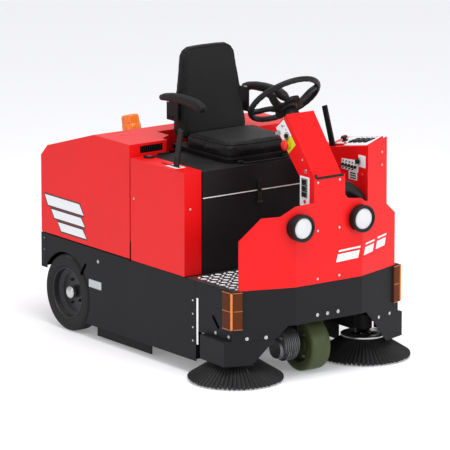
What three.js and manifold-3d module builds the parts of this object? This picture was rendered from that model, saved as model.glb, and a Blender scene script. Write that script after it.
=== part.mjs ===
// Ride-on sweeper, in millimetres, +Z up.
// The machine drives towards -Y, the driver's right hand is on the -X side, and z = 0 is the floor.
import * as THREE from 'three';
import { mergeVertices } from 'three/addons/utils/BufferGeometryUtils.js';
import Module from 'manifold-3d';

const wasm = await Module();
wasm.setup();

// ---------- driving dimensions ----------
const GAP = 0.3;                 // clearance kept between touching pieces
const HALF_WIDTH = 560;          // outside of the side skirts
const FRONT_Y = -935;            // flat middle of the nose
const REAR_Y = 976;              // back of the rear hood
const BEND_X = 221;              // where the nose folds back
const NOSE_SLOPE = 0.339;        // how far the folded part runs back per millimetre of width
const DECK_Z = 523;              // top of the step plate, foot of the red panels
const SHEET = 4;                 // sheet metal
const SKIRT_SHEET = 5;
const SEAM_Y = -496;             // joint between skirt and front bumper
const HOOD_FRONT_Y = 117;
const HOOD_TOP_Z = 1159;
const BOX_FRONT_Y = -399;        // front of the battery compartment
const BOX_HALF = 443;
const LID_SEAM_Z = 940;
const LID_TOP_Z = 1085;
const REAR_WHEEL = { x: 457, y: 736, radius: 216, width: 100 };
const DRIVE_WHEEL = { y: -732, radius: 143, halfWidth: 65 };
const SIDE_BROOM = { x: 432, y: -680, radius: 262, disc: 140, discZ: 130 };
const MAIN_BROOM = { y: 300, z: 172, radius: 165, half: 428 };
const COLUMN_HALF = 90;
const WHEEL_CENTRE = { y: -532, z: 1450 };
const WHEEL_TILT = THREE.MathUtils.degToRad(42);
const WHEEL_RADIUS = 196;
const SEAT_HALF = 240;
const SEAT_FRONT_Y = -349;

// ---------- materials ----------
function paint(color, roughness, metalness) {
  return new THREE.MeshStandardMaterial({ color, roughness, metalness });
}
const RED = 0xe52a30;
const BLACK = 0x2c2a2e;
const STEEL = 0xb9babd;
const RUBBER = 0x242325;
const VINYL = 0x28262a;
const AMBER = 0xff7a1a;
const redPaint = () => paint(RED, 0.4, 0.1);
const blackPaint = () => paint(BLACK, 0.5, 0.2);
const steel = () => paint(STEEL, 0.35, 0.8);
const rubber = () => paint(RUBBER, 0.8, 0);
const vinyl = () => paint(VINYL, 0.6, 0);
const plastic = () => paint(0x1d1c1f, 0.5, 0);

// ---------- solids ----------
// Shared corners merged, collapsed faces dropped and faces turned outwards.
function closed(geometry) {
  const bare = geometry.clone();
  bare.deleteAttribute('normal');
  bare.deleteAttribute('uv');
  const merged = mergeVertices(bare, 1e-3);
  const points = merged.attributes.position;
  const faces = [];
  let volume = 0;
  const a = new THREE.Vector3();
  const b = new THREE.Vector3();
  const c = new THREE.Vector3();
  for (let i = 0; i < merged.index.count; i += 3) {
    const face = [merged.index.getX(i), merged.index.getX(i + 1), merged.index.getX(i + 2)];
    if (face[0] === face[1] || face[1] === face[2] || face[0] === face[2]) continue;
    faces.push(face);
    a.fromBufferAttribute(points, face[0]);
    b.fromBufferAttribute(points, face[1]);
    c.fromBufferAttribute(points, face[2]);
    volume += a.dot(b.cross(c));
  }
  const order = volume < 0 ? (f) => [f[0], f[2], f[1]] : (f) => f;
  merged.setIndex(faces.flatMap(order));
  return merged;
}

function solid(geometry) {
  const tidy = closed(geometry);
  return new wasm.Manifold(new wasm.Mesh({
    numProp: 3,
    vertProperties: new Float32Array(tidy.attributes.position.array),
    triVerts: new Uint32Array(tidy.index.array),
  }));
}

function back(shape) {
  const mesh = shape.getMesh();
  const geometry = new THREE.BufferGeometry();
  geometry.setAttribute('position', new THREE.BufferAttribute(mesh.vertProperties, 3));
  geometry.setIndex(Array.from(mesh.triVerts));
  return geometry;
}

function join(first, ...others) {
  return back(others.reduce((sum, other) => sum.add(solid(other)), solid(first)));
}

function cut(first, ...others) {
  return back(others.reduce((rest, other) => rest.subtract(solid(other)), solid(first)));
}

function common(first, second) {
  return back(solid(first).intersect(solid(second)));
}

// A block given by its low and high corners.
function block(low, high) {
  const size = high.map((value, i) => value - low[i]);
  const geometry = new THREE.BoxGeometry(...size);
  geometry.translate(...low.map((value, i) => value + size[i] / 2));
  return geometry;
}

function outline(points) {
  return new THREE.Shape(points.map(([u, v]) => new THREE.Vector2(u, v)));
}

function extrude(shape, depth) {
  return new THREE.ExtrudeGeometry(shape, { depth, bevelEnabled: false, curveSegments: 8 });
}

// Extrusions of an outline seen from the side (y, z), from the front (x, z) and from above (x, y).
function alongX(shape, from, to) {
  const turn = new THREE.Matrix4().makeBasis(
    new THREE.Vector3(0, 1, 0),
    new THREE.Vector3(0, 0, 1),
    new THREE.Vector3(1, 0, 0),
  );
  return extrude(shape, to - from).applyMatrix4(turn).translate(from, 0, 0);
}

function alongY(shape, from, to) {
  const turn = new THREE.Matrix4().makeBasis(
    new THREE.Vector3(1, 0, 0),
    new THREE.Vector3(0, 0, 1),
    new THREE.Vector3(0, -1, 0),
  );
  return extrude(shape, to - from).applyMatrix4(turn).translate(0, to, 0);
}

function alongZ(shape, from, to) {
  return extrude(shape, to - from).translate(0, 0, from);
}

// A round bar between two points.
function rod(radius, from, to, segments = 20) {
  const start = new THREE.Vector3(...from);
  const end = new THREE.Vector3(...to);
  const run = end.clone().sub(start);
  const geometry = new THREE.CylinderGeometry(radius, radius, run.length(), segments);
  const turn = new THREE.Quaternion().setFromUnitVectors(
    new THREE.Vector3(0, 1, 0),
    run.clone().normalize(),
  );
  return geometry.applyQuaternion(turn).translate(...start.add(end).multiplyScalar(0.5).toArray());
}

// A turned piece: (radius, height) points about the Z axis.
function turned(profile, segments = 36) {
  const geometry = new THREE.LatheGeometry(profile.map(([r, h]) => new THREE.Vector2(r, h)), segments);
  return geometry.rotateX(Math.PI / 2);
}

function ring(profile, segments) {
  return turned([...profile, profile[0]], segments);
}

// The line beside an open path, a given distance to its left, with mitred corners.
function beside(path, distance) {
  const normals = path.slice(1).map((point, i) => {
    const [dx, dy] = [point[0] - path[i][0], point[1] - path[i][1]];
    const length = Math.hypot(dx, dy);
    return [-dy / length, dx / length];
  });
  return path.map((point, i) => {
    const before = normals[Math.max(i - 1, 0)];
    const after = normals[Math.min(i, normals.length - 1)];
    const scale = distance / (1 + before[0] * after[0] + before[1] * after[1]);
    return [point[0] + (before[0] + after[0]) * scale, point[1] + (before[1] + after[1]) * scale];
  });
}

// Sheet metal standing on a folded path seen from above.
function foldedSheet(path, thickness, low, high) {
  return alongZ(outline([...path, ...beside(path, thickness).reverse()]), low, high);
}

function mirrored(geometry) {
  return closed(geometry.clone().scale(-1, 1, 1));
}

// ---------- the assembly ----------
const sweeper = new THREE.Group();

function add(name, geometry, material, position = [0, 0, 0], rotation = [0, 0, 0]) {
  const mesh = new THREE.Mesh(closed(geometry), material);
  mesh.name = name;
  mesh.position.set(...position);
  mesh.rotation.set(...rotation);
  sweeper.add(mesh);
}

// The same piece on both sides, modelled on the driver's right (-X) side.
function addPair(name, geometry, material) {
  add(`${name}_right`, geometry, material());
  add(`${name}_left`, mirrored(geometry), material());
}

const noseY = (x) => FRONT_Y + NOSE_SLOPE * Math.max(Math.abs(x) - BEND_X, 0);

// ---------- chassis ----------
function addChassis() {
  const railIn = 385;
  const railOut = 435;
  const railLow = 420;
  const railHigh = 504;
  const rail = (side) => block(
    [side < 0 ? -railOut : railIn, -800, railLow],
    [side < 0 ? -railIn : railOut, 950, railHigh],
  );
  const cross = (y, low) => block([-railOut, y - 20, low], [railOut, y + 20, railHigh]);
  const headPlate = block([-railOut, DRIVE_WHEEL.y - 60, 450], [railOut, DRIVE_WHEEL.y + 60, railHigh]);
  const kingBore = rod(25.4, [0, DRIVE_WHEEL.y, 400], [0, DRIVE_WHEEL.y, 520], 32);
  const pieces = [rail(1), cross(-380, 450), cross(60, 450), cross(510, 450), cross(930, 450), headPlate];
  add('chassis_frame', cut(join(rail(-1), ...pieces), kingBore), blackPaint());
}

function addAxle() {
  const legIn = 345;
  const legOut = 375;
  const beam = block([-legOut, 711, 380], [legOut, 761, 419.7]);
  const leg = (side) => block(
    [side < 0 ? -legOut : legIn, 711, 190],
    [side < 0 ? -legIn : legOut, 761, 390],
  );
  const stub = (side) => rod(
    15,
    [side * (legIn + 5), REAR_WHEEL.y, REAR_WHEEL.radius],
    [side * (REAR_WHEEL.x + 56), REAR_WHEEL.y, REAR_WHEEL.radius],
    24,
  );
  add('rear_axle', join(beam, leg(-1), leg(1), stub(-1), stub(1)), blackPaint());
}

function addRearWheels() {
  // (radius, distance outwards from the wheel's inner face)
  const tyre = ring([
    [146, 10], [158, 2], [198, 2], [210, 7], [216, 20],
    [216, 80], [210, 93], [198, 98], [158, 98], [146, 90],
  ], 36);
  const rim = turned([
    [0, 74], [22, 72], [27, 66], [27, 45], [112, 45], [136, 60], [138, 91], [145.7, 91],
    [145.7, 9], [136, 9], [126, 30], [40, 27], [40, 6], [15.4, 6], [15.4, 60], [0, 60],
  ], 36);
  const place = (geometry, side) => geometry.clone()
    .rotateY(Math.PI / 2)
    .translate(REAR_WHEEL.x, REAR_WHEEL.y, REAR_WHEEL.radius)
    .scale(side, 1, 1);
  add('rear_tyre_right', place(tyre, -1), rubber());
  add('rear_tyre_left', place(tyre, 1), rubber());
  add('rear_rim_right', place(rim, -1), blackPaint());
  add('rear_rim_left', place(rim, 1), blackPaint());
}

function addDriveUnit() {
  const hubZ = DRIVE_WHEEL.radius;
  const sideways = (geometry, x) => geometry.rotateY(Math.PI / 2).translate(x, DRIVE_WHEEL.y, hubZ);
  const half = DRIVE_WHEEL.halfWidth;
  const tyre = ring([
    [15.4, -45], [44, -45], [50, -30], [92, -30], [96, -half + 4], [128, -half], [143, -half + 12],
    [143, half - 12], [128, half], [96, half - 4], [92, 30], [50, 30], [44, 45], [15.4, 45],
  ], 36);
  add('drive_tyre', sideways(tyre, 0), paint(0x3c4522, 0.6, 0));

  const legX = 75;
  const crown = block([-95, DRIVE_WHEEL.y - 55, 298], [95, DRIVE_WHEEL.y + 55, 320]);
  const leg = (side) => block(
    [side < 0 ? -legX - 15 : legX, DRIVE_WHEEL.y - 40, 95],
    [side < 0 ? -legX : legX + 15, DRIVE_WHEEL.y + 40, 300],
  );
  const axle = rod(15, [-legX - 5, DRIVE_WHEEL.y, hubZ], [legX + 5, DRIVE_WHEEL.y, hubZ], 24);
  const kingPin = rod(25, [0, DRIVE_WHEEL.y, 310], [0, DRIVE_WHEEL.y, 502], 32);
  add('drive_fork', join(crown, leg(-1), leg(1), axle, kingPin), blackPaint());

  const fins = 4;
  const finPitch = 18;
  const profile = [[0, 0], [60, 0], [60, 14]];
  for (let i = 0; i < fins; i += 1) {
    const start = 14 + i * finPitch;
    const gapStart = start + finPitch / 2;
    profile.push([72, start], [72, gapStart], [62, gapStart], [62, start + finPitch]);
  }
  profile.push([58, 100], [52, 120], [0, 121]);
  const motor = turned(profile, 20);
  motor.rotateY(-Math.PI / 2).translate(-legX - 15 - GAP, DRIVE_WHEEL.y, hubZ);
  add('drive_motor', motor, paint(0x6c6b6e, 0.5, 0.6));
}

// ---------- lower bodywork ----------
function addSkirts() {
  const archRadius = REAR_WHEEL.radius + 16;
  const lowZ = 79;
  const topZ = 520;
  const rearEnd = 924;
  const startAngle = Math.PI + Math.asin((REAR_WHEEL.radius - lowZ) / archRadius);
  const endAngle = Math.acos((rearEnd - REAR_WHEEL.y) / archRadius);
  const side = new THREE.Shape();
  side.moveTo(SEAM_Y + 1, lowZ);
  side.lineTo(REAR_WHEEL.y + archRadius * Math.cos(startAngle), lowZ);
  side.absarc(REAR_WHEEL.y, REAR_WHEEL.radius, archRadius, startAngle, endAngle, true);
  side.lineTo(rearEnd, topZ);
  side.lineTo(SEAM_Y + 1, topZ);
  side.closePath();
  const wall = alongX(side, -HALF_WIDTH, -HALF_WIDTH + SKIRT_SHEET);
  const flange = block([-HALF_WIDTH, SEAM_Y + 1, 498], [-HALF_WIDTH + 40, rearEnd, 503]);
  const seamFlange = block([-HALF_WIDTH, SEAM_Y + 1, 90], [-HALF_WIDTH + 40, SEAM_Y + 6, 503]);
  addPair('skirt', join(wall, flange, seamFlange), blackPaint);
}

function addBumpers() {
  const cornerY = noseY(HALF_WIDTH);
  const path = [
    [-HALF_WIDTH, SEAM_Y - 1], [-HALF_WIDTH, cornerY], [-BEND_X, FRONT_Y],
    [BEND_X, FRONT_Y], [HALF_WIDTH, cornerY], [HALF_WIDTH, SEAM_Y - 1],
  ];
  const wrap = foldedSheet(path, SKIRT_SHEET, 250, 520);
  const gapFront = outline([
    [-330, 200], [330, 200], [330, 250], [262, 316], [-262, 316], [-330, 250],
  ]);
  const wheelGap = alongY(gapFront, -1000, -700);
  add('front_bumper', cut(wrap, wheelGap), blackPaint());

  const rearPath = [
    [HALF_WIDTH, 926], [HALF_WIDTH, 980], [-HALF_WIDTH, 980], [-HALF_WIDTH, 926],
  ];
  add('rear_bumper', foldedSheet(rearPath, SKIRT_SHEET, 325, 522), blackPaint());

  const markerPath = [
    [-HALF_WIDTH - GAP, -750], [-HALF_WIDTH - GAP, cornerY - GAP], [-508, noseY(508) - GAP],
  ];
  addPair('corner_marker', foldedSheet(markerPath, -11, 316, 517), () => paint(AMBER, 0.3, 0));
}

function addBroomGuards() {
  const path = [[-590, -574], [-600, -806], [-458, -855], [-345, -893]];
  const lowZ = 115;
  const highZ = 249;
  const wall = foldedSheet(path, SHEET, lowZ, highZ);
  const shelf = foldedSheet(path, 42, highZ - 4, highZ);
  const slantFront = outline([
    [-470, lowZ - 10], [-340, lowZ - 10], [-340, 230], [-348, 230], [-452, lowZ],
  ]);
  const slant = alongY(slantFront, -1000, -800);
  addPair('broom_guard', cut(join(wall, shelf), slant), blackPaint);
}

function addStepPlate() {
  const half = HALF_WIDTH - 7;
  const plan = [
    [-half, -403], [-half, noseY(half) + 8], [-BEND_X + 2, FRONT_Y + 7],
    [BEND_X - 2, FRONT_Y + 7], [half, noseY(half) + 8], [half, -403],
  ];
  add('step_plate', alongZ(outline(plan), 504.4, DECK_Z - GAP), steel());
}

// ---------- red bodywork ----------
const LAMP = { x: 202, z: 846, radius: 72 };

function addFrontPanel() {
  const edge = 525;
  const path = [[-edge, noseY(edge)], [-BEND_X, FRONT_Y], [BEND_X, FRONT_Y], [edge, noseY(edge)]];
  const wrap = foldedSheet(path, SHEET, DECK_Z, 1260);
  const face = [
    [-edge, DECK_Z - 10], [edge + 5, DECK_Z - 10], [edge + 5, 811], [446, 878], [444, 1247], [269, 1230],
    [269, 926], [248, 930], [211, 952], [123, 964], [103, 988], [103, 1098], [-103, 1098],
    [-103, 966], [-224, 961], [-306, 911], [-405, 909], [-edge - 5, 787], [-edge - 5, DECK_Z - 10],
  ];
  const shaped = common(wrap, alongY(outline(face), -1000, -700));
  const lampHole = (x) => rod(LAMP.radius + GAP, [x, -1000, LAMP.z], [x, -850, LAMP.z], 40);
  add('front_panel', cut(shaped, lampHole(-LAMP.x), lampHole(LAMP.x)), redPaint());
}

function addLamps() {
  const housing = turned([
    [0, 0], [50, 0], [LAMP.radius, 25], [LAMP.radius, 84], [66, 86], [58, 80], [56, 66], [50, 60], [0, 58],
  ], 28);
  const lens = turned([[0, 62], [49, 63.5], [55.5, 70], [52, 77], [30, 81], [0, 82.5]], 28);
  const place = (geometry) => geometry.clone().rotateX(Math.PI / 2).translate(-LAMP.x, -894, LAMP.z);
  addPair('headlight_housing', place(housing), plastic);
  addPair('headlight_lens', place(lens), () => paint(0xe6e8ea, 0.15, 0));
}

// Side view of the column: foot, back, top and sloping front.
const COLUMN_SIDE = [
  [-925, DECK_Z + GAP], [-794, DECK_Z + GAP], [-794, 1077], [-573, 1311],
  [-673, 1401], [-910, 1109], [-925, 1090],
];
const ROCKER = { y: -832, heights: [1062, 1028, 994], long: 26, tall: 17 };
const BUTTON = { y: -683, z: 1236 };
const KEY = { y: -608, z: 1290 };
const KNOB = { y: -678, z: 1285 };
const shaftAxis = [0, Math.sin(WHEEL_TILT), Math.cos(WHEEL_TILT)];
const onShaft = (distance) => [
  0,
  WHEEL_CENTRE.y + distance * shaftAxis[1],
  WHEEL_CENTRE.z + distance * shaftAxis[2],
];

function addColumn() {
  const loop = [...COLUMN_SIDE, COLUMN_SIDE[0]];
  const inner = beside(loop, SHEET);
  inner[0] = [COLUMN_SIDE[0][0] + SHEET, DECK_Z - 20];
  inner[1] = [COLUMN_SIDE[1][0] - SHEET, DECK_Z - 20];
  inner.pop();
  const shell = cut(
    alongX(outline(COLUMN_SIDE), -COLUMN_HALF, COLUMN_HALF),
    alongX(outline(inner), -COLUMN_HALF + SHEET, COLUMN_HALF - SHEET),
  );
  const sideHole = (radius, y, z) => rod(radius, [-COLUMN_HALF - 10, y, z], [-COLUMN_HALF + 10, y, z], 20);
  const windows = ROCKER.heights.map((z) => block(
    [-COLUMN_HALF - 10, ROCKER.y - ROCKER.long / 2 - 1.5, z - ROCKER.tall / 2 - 1.5],
    [-COLUMN_HALF + 10, ROCKER.y + ROCKER.long / 2 + 1.5, z + ROCKER.tall / 2 + 1.5],
  ));
  add('steering_column_cover', cut(
    shell,
    rod(16, onShaft(-180), onShaft(-80)),
    sideHole(8.5, BUTTON.y, BUTTON.z),
    sideHole(6.5, KEY.y, KEY.z),
    sideHole(4.5, KNOB.y, KNOB.z),
    ...windows,
  ), redPaint());
}

function addColumnControls() {
  const outward = (profile, y, z) => turned(profile, 16).rotateY(-Math.PI / 2).translate(-COLUMN_HALF, y, z);
  const mushroom = [[0, -18], [8, -18], [8, 12], [24, 14], [28, 20], [26, 28], [16, 33], [0, 34]];
  add('emergency_stop', outward(mushroom, BUTTON.y, BUTTON.z), paint(0xd8141c, 0.4, 0));
  const key = join(
    outward([[0, -15], [6, -15], [6, 2], [9, 2], [9, 8], [0, 8]], KEY.y, KEY.z),
    block([-COLUMN_HALF - 24, KEY.y - 1.5, KEY.z - 8], [-COLUMN_HALF - 6, KEY.y + 1.5, KEY.z + 8]),
  );
  add('key_switch', key, steel());
  const dial = join(
    outward([[0, -12], [4, -12], [4, 1], [12, 1], [11, 14], [0, 15]], KNOB.y, KNOB.z),
    block([-COLUMN_HALF - 17, KNOB.y - 2.5, KNOB.z - 11], [-COLUMN_HALF - 10, KNOB.y + 2.5, KNOB.z + 11]),
  );
  add('column_knob', dial, plastic());
  const tilt = 3;
  const halfLong = ROCKER.long / 2;
  ROCKER.heights.forEach((z, i) => {
    const plan = [
      [-COLUMN_HALF + 6, ROCKER.y - 5],
      [-COLUMN_HALF + 6, ROCKER.y + 5],
      [-COLUMN_HALF - tilt, ROCKER.y + halfLong],
      [-COLUMN_HALF - tilt - 3, ROCKER.y + halfLong], [-COLUMN_HALF - tilt, ROCKER.y],
      [-COLUMN_HALF - tilt - 3, ROCKER.y - halfLong], [-COLUMN_HALF - tilt, ROCKER.y - halfLong],
    ];
    const rocker = alongZ(outline(plan), z - ROCKER.tall / 2, z + ROCKER.tall / 2);
    add(`rocker_switch_${i + 1}`, rocker, plastic());
  });
}

const CONSOLE = { inX: 269, outX: 444, rearY: -493, lowZ: 880, frontTop: 1226, rearTop: 1151 };
const CONSOLE_KNOB = { y: -837, z: 1129 };
const SIDE_LEVER = { x: 300, pivotY: -608, pivotZ: 1060, topY: -495, topZ: 1375 };

function addConsole() {
  const shape = (inset, low) => {
    const plan = outline([
      [CONSOLE.inX + inset, noseY(CONSOLE.inX) + 6 + inset],
      [CONSOLE.outX - inset, noseY(CONSOLE.outX) + 6 + inset],
      [CONSOLE.outX - inset, CONSOLE.rearY - inset], [CONSOLE.inX + inset, CONSOLE.rearY - inset],
    ]);
    const side = outline([
      [-950, low], [-400, low], [-400, CONSOLE.rearTop - inset - 16], [-950, CONSOLE.frontTop - inset + 5],
    ]);
    return common(alongZ(plan, low, 1300), alongX(side, 200, 500));
  };
  const slot = block([SIDE_LEVER.x - 8, -648, 1100], [SIDE_LEVER.x + 8, -528, 1200]);
  const knobHole = rod(4.5, [250, CONSOLE_KNOB.y, CONSOLE_KNOB.z], [285, CONSOLE_KNOB.y, CONSOLE_KNOB.z]);
  const hollow = shape(SHEET, CONSOLE.lowZ - 20);
  add('left_console', cut(shape(0, CONSOLE.lowZ), hollow, slot, knobHole), redPaint());

  const knob = turned([[0, -14], [4, -14], [4, 1], [13, 1], [12, 16], [9, 18], [0, 18]], 24);
  knob.rotateY(-Math.PI / 2).translate(CONSOLE.inX, CONSOLE_KNOB.y, CONSOLE_KNOB.z);
  add('console_knob', knob, plastic());
}

const SIDE_PANEL = { inX: -447, frontY: -392, rearY: 107, topZ: 1092 };
const BROOM_LEVER = { x: -500, pivotY: -194, pivotZ: 900, topY: -280, topZ: 1303 };

function addSidePanels() {
  const shell = cut(
    block([-HALF_WIDTH, SIDE_PANEL.frontY, DECK_Z], [SIDE_PANEL.inX, SIDE_PANEL.rearY, SIDE_PANEL.topZ]),
    block(
      [-HALF_WIDTH + SHEET, SIDE_PANEL.frontY + SHEET, DECK_Z - 20],
      [SIDE_PANEL.inX - SHEET, SIDE_PANEL.rearY - SHEET, SIDE_PANEL.topZ - SHEET],
    ),
  );
  const slot = block([BROOM_LEVER.x - 8, -268, 1050], [BROOM_LEVER.x + 8, -100, 1110]);
  add('side_panel_right', cut(shell, slot), redPaint());
  add('side_panel_left', mirrored(shell), redPaint());
}

// A flat bar lever with a round eye at its pivot, seen from the side.
function flatLever(lever, width, thickness) {
  const reach = Math.hypot(lever.topY - lever.pivotY, lever.topZ - lever.pivotZ);
  const half = width / 2;
  const bar = new THREE.Shape();
  bar.moveTo(half, 0);
  bar.lineTo(half * 0.9, reach - 3);
  bar.lineTo(half * 0.8, reach);
  bar.lineTo(-half * 0.8, reach);
  bar.lineTo(-half * 0.9, reach - 3);
  bar.lineTo(-half, 0);
  bar.absarc(0, 0, half, Math.PI, 2 * Math.PI, false);
  const lean = Math.atan2(lever.topY - lever.pivotY, lever.topZ - lever.pivotZ);
  return alongX(bar, -thickness / 2, thickness / 2)
    .rotateX(-lean)
    .translate(lever.x, lever.pivotY, lever.pivotZ);
}

function addLevers() {
  add('main_broom_lever', flatLever(BROOM_LEVER, 42, 10), plastic());
  add('side_broom_lever', flatLever(SIDE_LEVER, 42, 10), plastic());
}

// The rear hood, with a bay in its front for the seat back.
function addHood() {
  const side = (inset) => outline([
    [REAR_Y - inset, inset ? 400 : DECK_Z + 4],
    [REAR_Y - inset, 963 - inset * 0.4],
    [912 - inset * 0.4, 1027 - inset],
    [460, HOOD_TOP_Z - inset],
    [HOOD_FRONT_Y + inset, HOOD_TOP_Z - inset],
    [HOOD_FRONT_Y + inset, inset ? 400 : DECK_Z + 4],
  ]);
  const bayPlan = (extra) => outline([
    [-314 - extra, 60], [314 + extra, 60], [310 + extra, 162 + extra * 0.6],
    [228 + extra, 215 + extra], [228 + extra, 330 + extra], [-228 - extra, 330 + extra],
    [-228 - extra, 215 + extra], [-310 - extra, 162 + extra * 0.6],
  ]);
  const bayLow = 1040;
  const outer = cut(
    alongX(side(0), -HALF_WIDTH, HALF_WIDTH),
    alongZ(bayPlan(0), bayLow, 1200),
  );
  const inner = cut(
    alongX(side(SHEET), -HALF_WIDTH + SHEET, HALF_WIDTH - SHEET),
    alongZ(bayPlan(SHEET), bayLow, 1200),
  );
  const lowFront = block([-314, HOOD_FRONT_Y - 10, 850], [314, HOOD_FRONT_Y + 10, 1100]);
  const floorHole = alongZ(bayPlan(-0.5), bayLow - 30, bayLow + 30);
  const vent = block([-489, HOOD_FRONT_Y - 10, 1104], [-338, HOOD_FRONT_Y + 10, 1144]);
  add('rear_hood', cut(outer, inner, lowFront, floorHole, vent), redPaint());
}

const BEACON = { x: -60, y: 800 };

function addBeacon() {
  const slope = (HOOD_TOP_Z - 1027) / (912 - 460);
  const z = HOOD_TOP_Z - (BEACON.y - 460) * slope;
  const lean = -Math.atan(slope);
  const base = turned([[0, 0], [58, 0], [58, 14], [54, 22], [46, 22], [46, 16], [0, 16]], 24);
  const dome = turned([[0, 17], [45, 17], [45, 24], [49, 27], [49, 88], [44, 97], [0, 99]], 24);
  add('beacon_base', base, plastic(), [BEACON.x, BEACON.y, z + GAP], [lean, 0, 0]);
  add('beacon_dome', dome, paint(AMBER, 0.3, 0), [BEACON.x, BEACON.y, z + GAP], [lean, 0, 0]);
}

// ---------- battery compartment and seat ----------
const BOX_REAR_Y = 100;
const LID_PIVOT = { y: 106, z: 1087 };

function addBatteries() {
  const boxLow = 504.4;
  add('battery_box', cut(
    block([-BOX_HALF, BOX_FRONT_Y, boxLow], [BOX_HALF, BOX_REAR_Y, LID_SEAM_Z - 2]),
    block(
      [-BOX_HALF + SHEET, BOX_FRONT_Y + SHEET, boxLow + SHEET],
      [BOX_HALF - SHEET, BOX_REAR_Y - SHEET, 1000],
    ),
  ), blackPaint());
  const post = (x, y) => rod(9, [x, y, 840], [x, y, 872], 12);
  const posts = [-390, -240, -60, 60, 240, 390].map((x) => post(x, x > 0 ? -330 : 30));
  const core = block([-425, -380, boxLow + SHEET + GAP], [425, 80, 850]);
  const grooves = [-143, 143].map((x) => block([x - 2, -390, 560], [x + 2, 90, 860]));
  add('battery_pack', join(cut(core, ...grooves), ...posts), paint(0x3a3c40, 0.6, 0));
}

function addLid() {
  const shell = cut(
    block([-BOX_HALF, BOX_FRONT_Y, LID_SEAM_Z + 2], [BOX_HALF, BOX_REAR_Y, LID_TOP_Z]),
    block(
      [-BOX_HALF + SHEET, BOX_FRONT_Y + SHEET, 900],
      [BOX_HALF - SHEET, BOX_REAR_Y - SHEET, LID_TOP_Z - SHEET],
    ),
  );
  const knuckle = (x) => join(
    block([x - 35, BOX_REAR_Y - 3, LID_PIVOT.z - 7], [x + 35, LID_PIVOT.y, LID_PIVOT.z + 7]),
    rod(7, [x - 35, LID_PIVOT.y, LID_PIVOT.z], [x + 35, LID_PIVOT.y, LID_PIVOT.z], 16),
  );
  add('battery_lid', join(shell, knuckle(-340), knuckle(340)), blackPaint());
  const latchX = -71;
  const strap = join(
    block([latchX - 13, BOX_FRONT_Y - 11, 868], [latchX + 13, BOX_FRONT_Y - 6, 990]),
    rod(5.2, [latchX - 13, BOX_FRONT_Y - 5.6, 990], [latchX + 13, BOX_FRONT_Y - 5.6, 990], 16),
    block([latchX - 13, BOX_FRONT_Y - 15, 866], [latchX + 13, BOX_FRONT_Y - 6, 871]),
  );
  add('lid_latch', strap, blackPaint());
}

const BACK_REAR_Y = 207;

function rounded(width, height, radius) {
  const shape = new THREE.Shape();
  const [w, h] = [width / 2 - radius, height / 2 - radius];
  shape.absarc(w, h, radius, 0, Math.PI / 2, false);
  shape.absarc(-w, h, radius, Math.PI / 2, Math.PI, false);
  shape.absarc(-w, -h, radius, Math.PI, 1.5 * Math.PI, false);
  shape.absarc(w, -h, radius, 1.5 * Math.PI, 2 * Math.PI, false);
  return shape;
}

function addSeat() {
  const panTop = 1110;
  const pan = block([-205, SEAT_FRONT_Y + 25, LID_TOP_Z + GAP], [205, BACK_REAR_Y + 6, panTop - 2]);
  const upright = block([-110, BACK_REAR_Y + 1, 1090], [110, BACK_REAR_Y + 6, 1420]);
  const strap = block([-243, BACK_REAR_Y + 1, 1250], [243, BACK_REAR_Y + 6, 1290]);
  const ear = (side) => block(
    [side < 0 ? -243 : 238, 110, 1250],
    [side < 0 ? -238 : 243, BACK_REAR_Y + 6, 1385],
  );
  add('seat_pan', join(pan, upright, strap, ear(-1), ear(1)), blackPaint());

  const cushion = extrude(rounded(2 * SEAT_HALF, 435, 45), 88);
  cushion.translate(0, SEAT_FRONT_Y + 435 / 2, panTop + 2);
  add('seat_cushion', cushion, vinyl());

  const halfFace = [
    [190, 1140], [208, 1150], [217, 1180], [214, 1260], [196, 1400],
    [170, 1555], [161, 1605], [142, 1638], [108, 1655],
  ];
  const otherHalf = halfFace.map(([x, z]) => [-x, z]).reverse();
  const face = alongY(outline([...halfFace, ...otherHalf]), 0, 400);
  const wedge = alongX(outline([
    [92, 1120], [BACK_REAR_Y - 8, 1120], [BACK_REAR_Y, 1180],
    [BACK_REAR_Y, 1600], [195, 1670], [165, 1670], [92, 1215],
  ]), -300, 300);
  add('seat_back', common(face, wedge), vinyl());
}

const ARM = { x: 280, y: 155, z: 1360 };

function addArmrests() {
  const pad = outline([
    [200, 1352], [205, 1385], [120, 1412], [-60, 1418], [-165, 1402], [-197, 1382],
    [-190, 1360], [-150, 1362], [-60, 1378], [100, 1372],
  ]);
  const arm = join(
    alongX(pad, -ARM.x - 28, -ARM.x + 28),
    rod(14, [-ARM.x + 20, ARM.y, ARM.z + 18], [-243 - GAP, ARM.y, ARM.z + 18], 16),
  );
  addPair('armrest', arm, vinyl);
}

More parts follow.
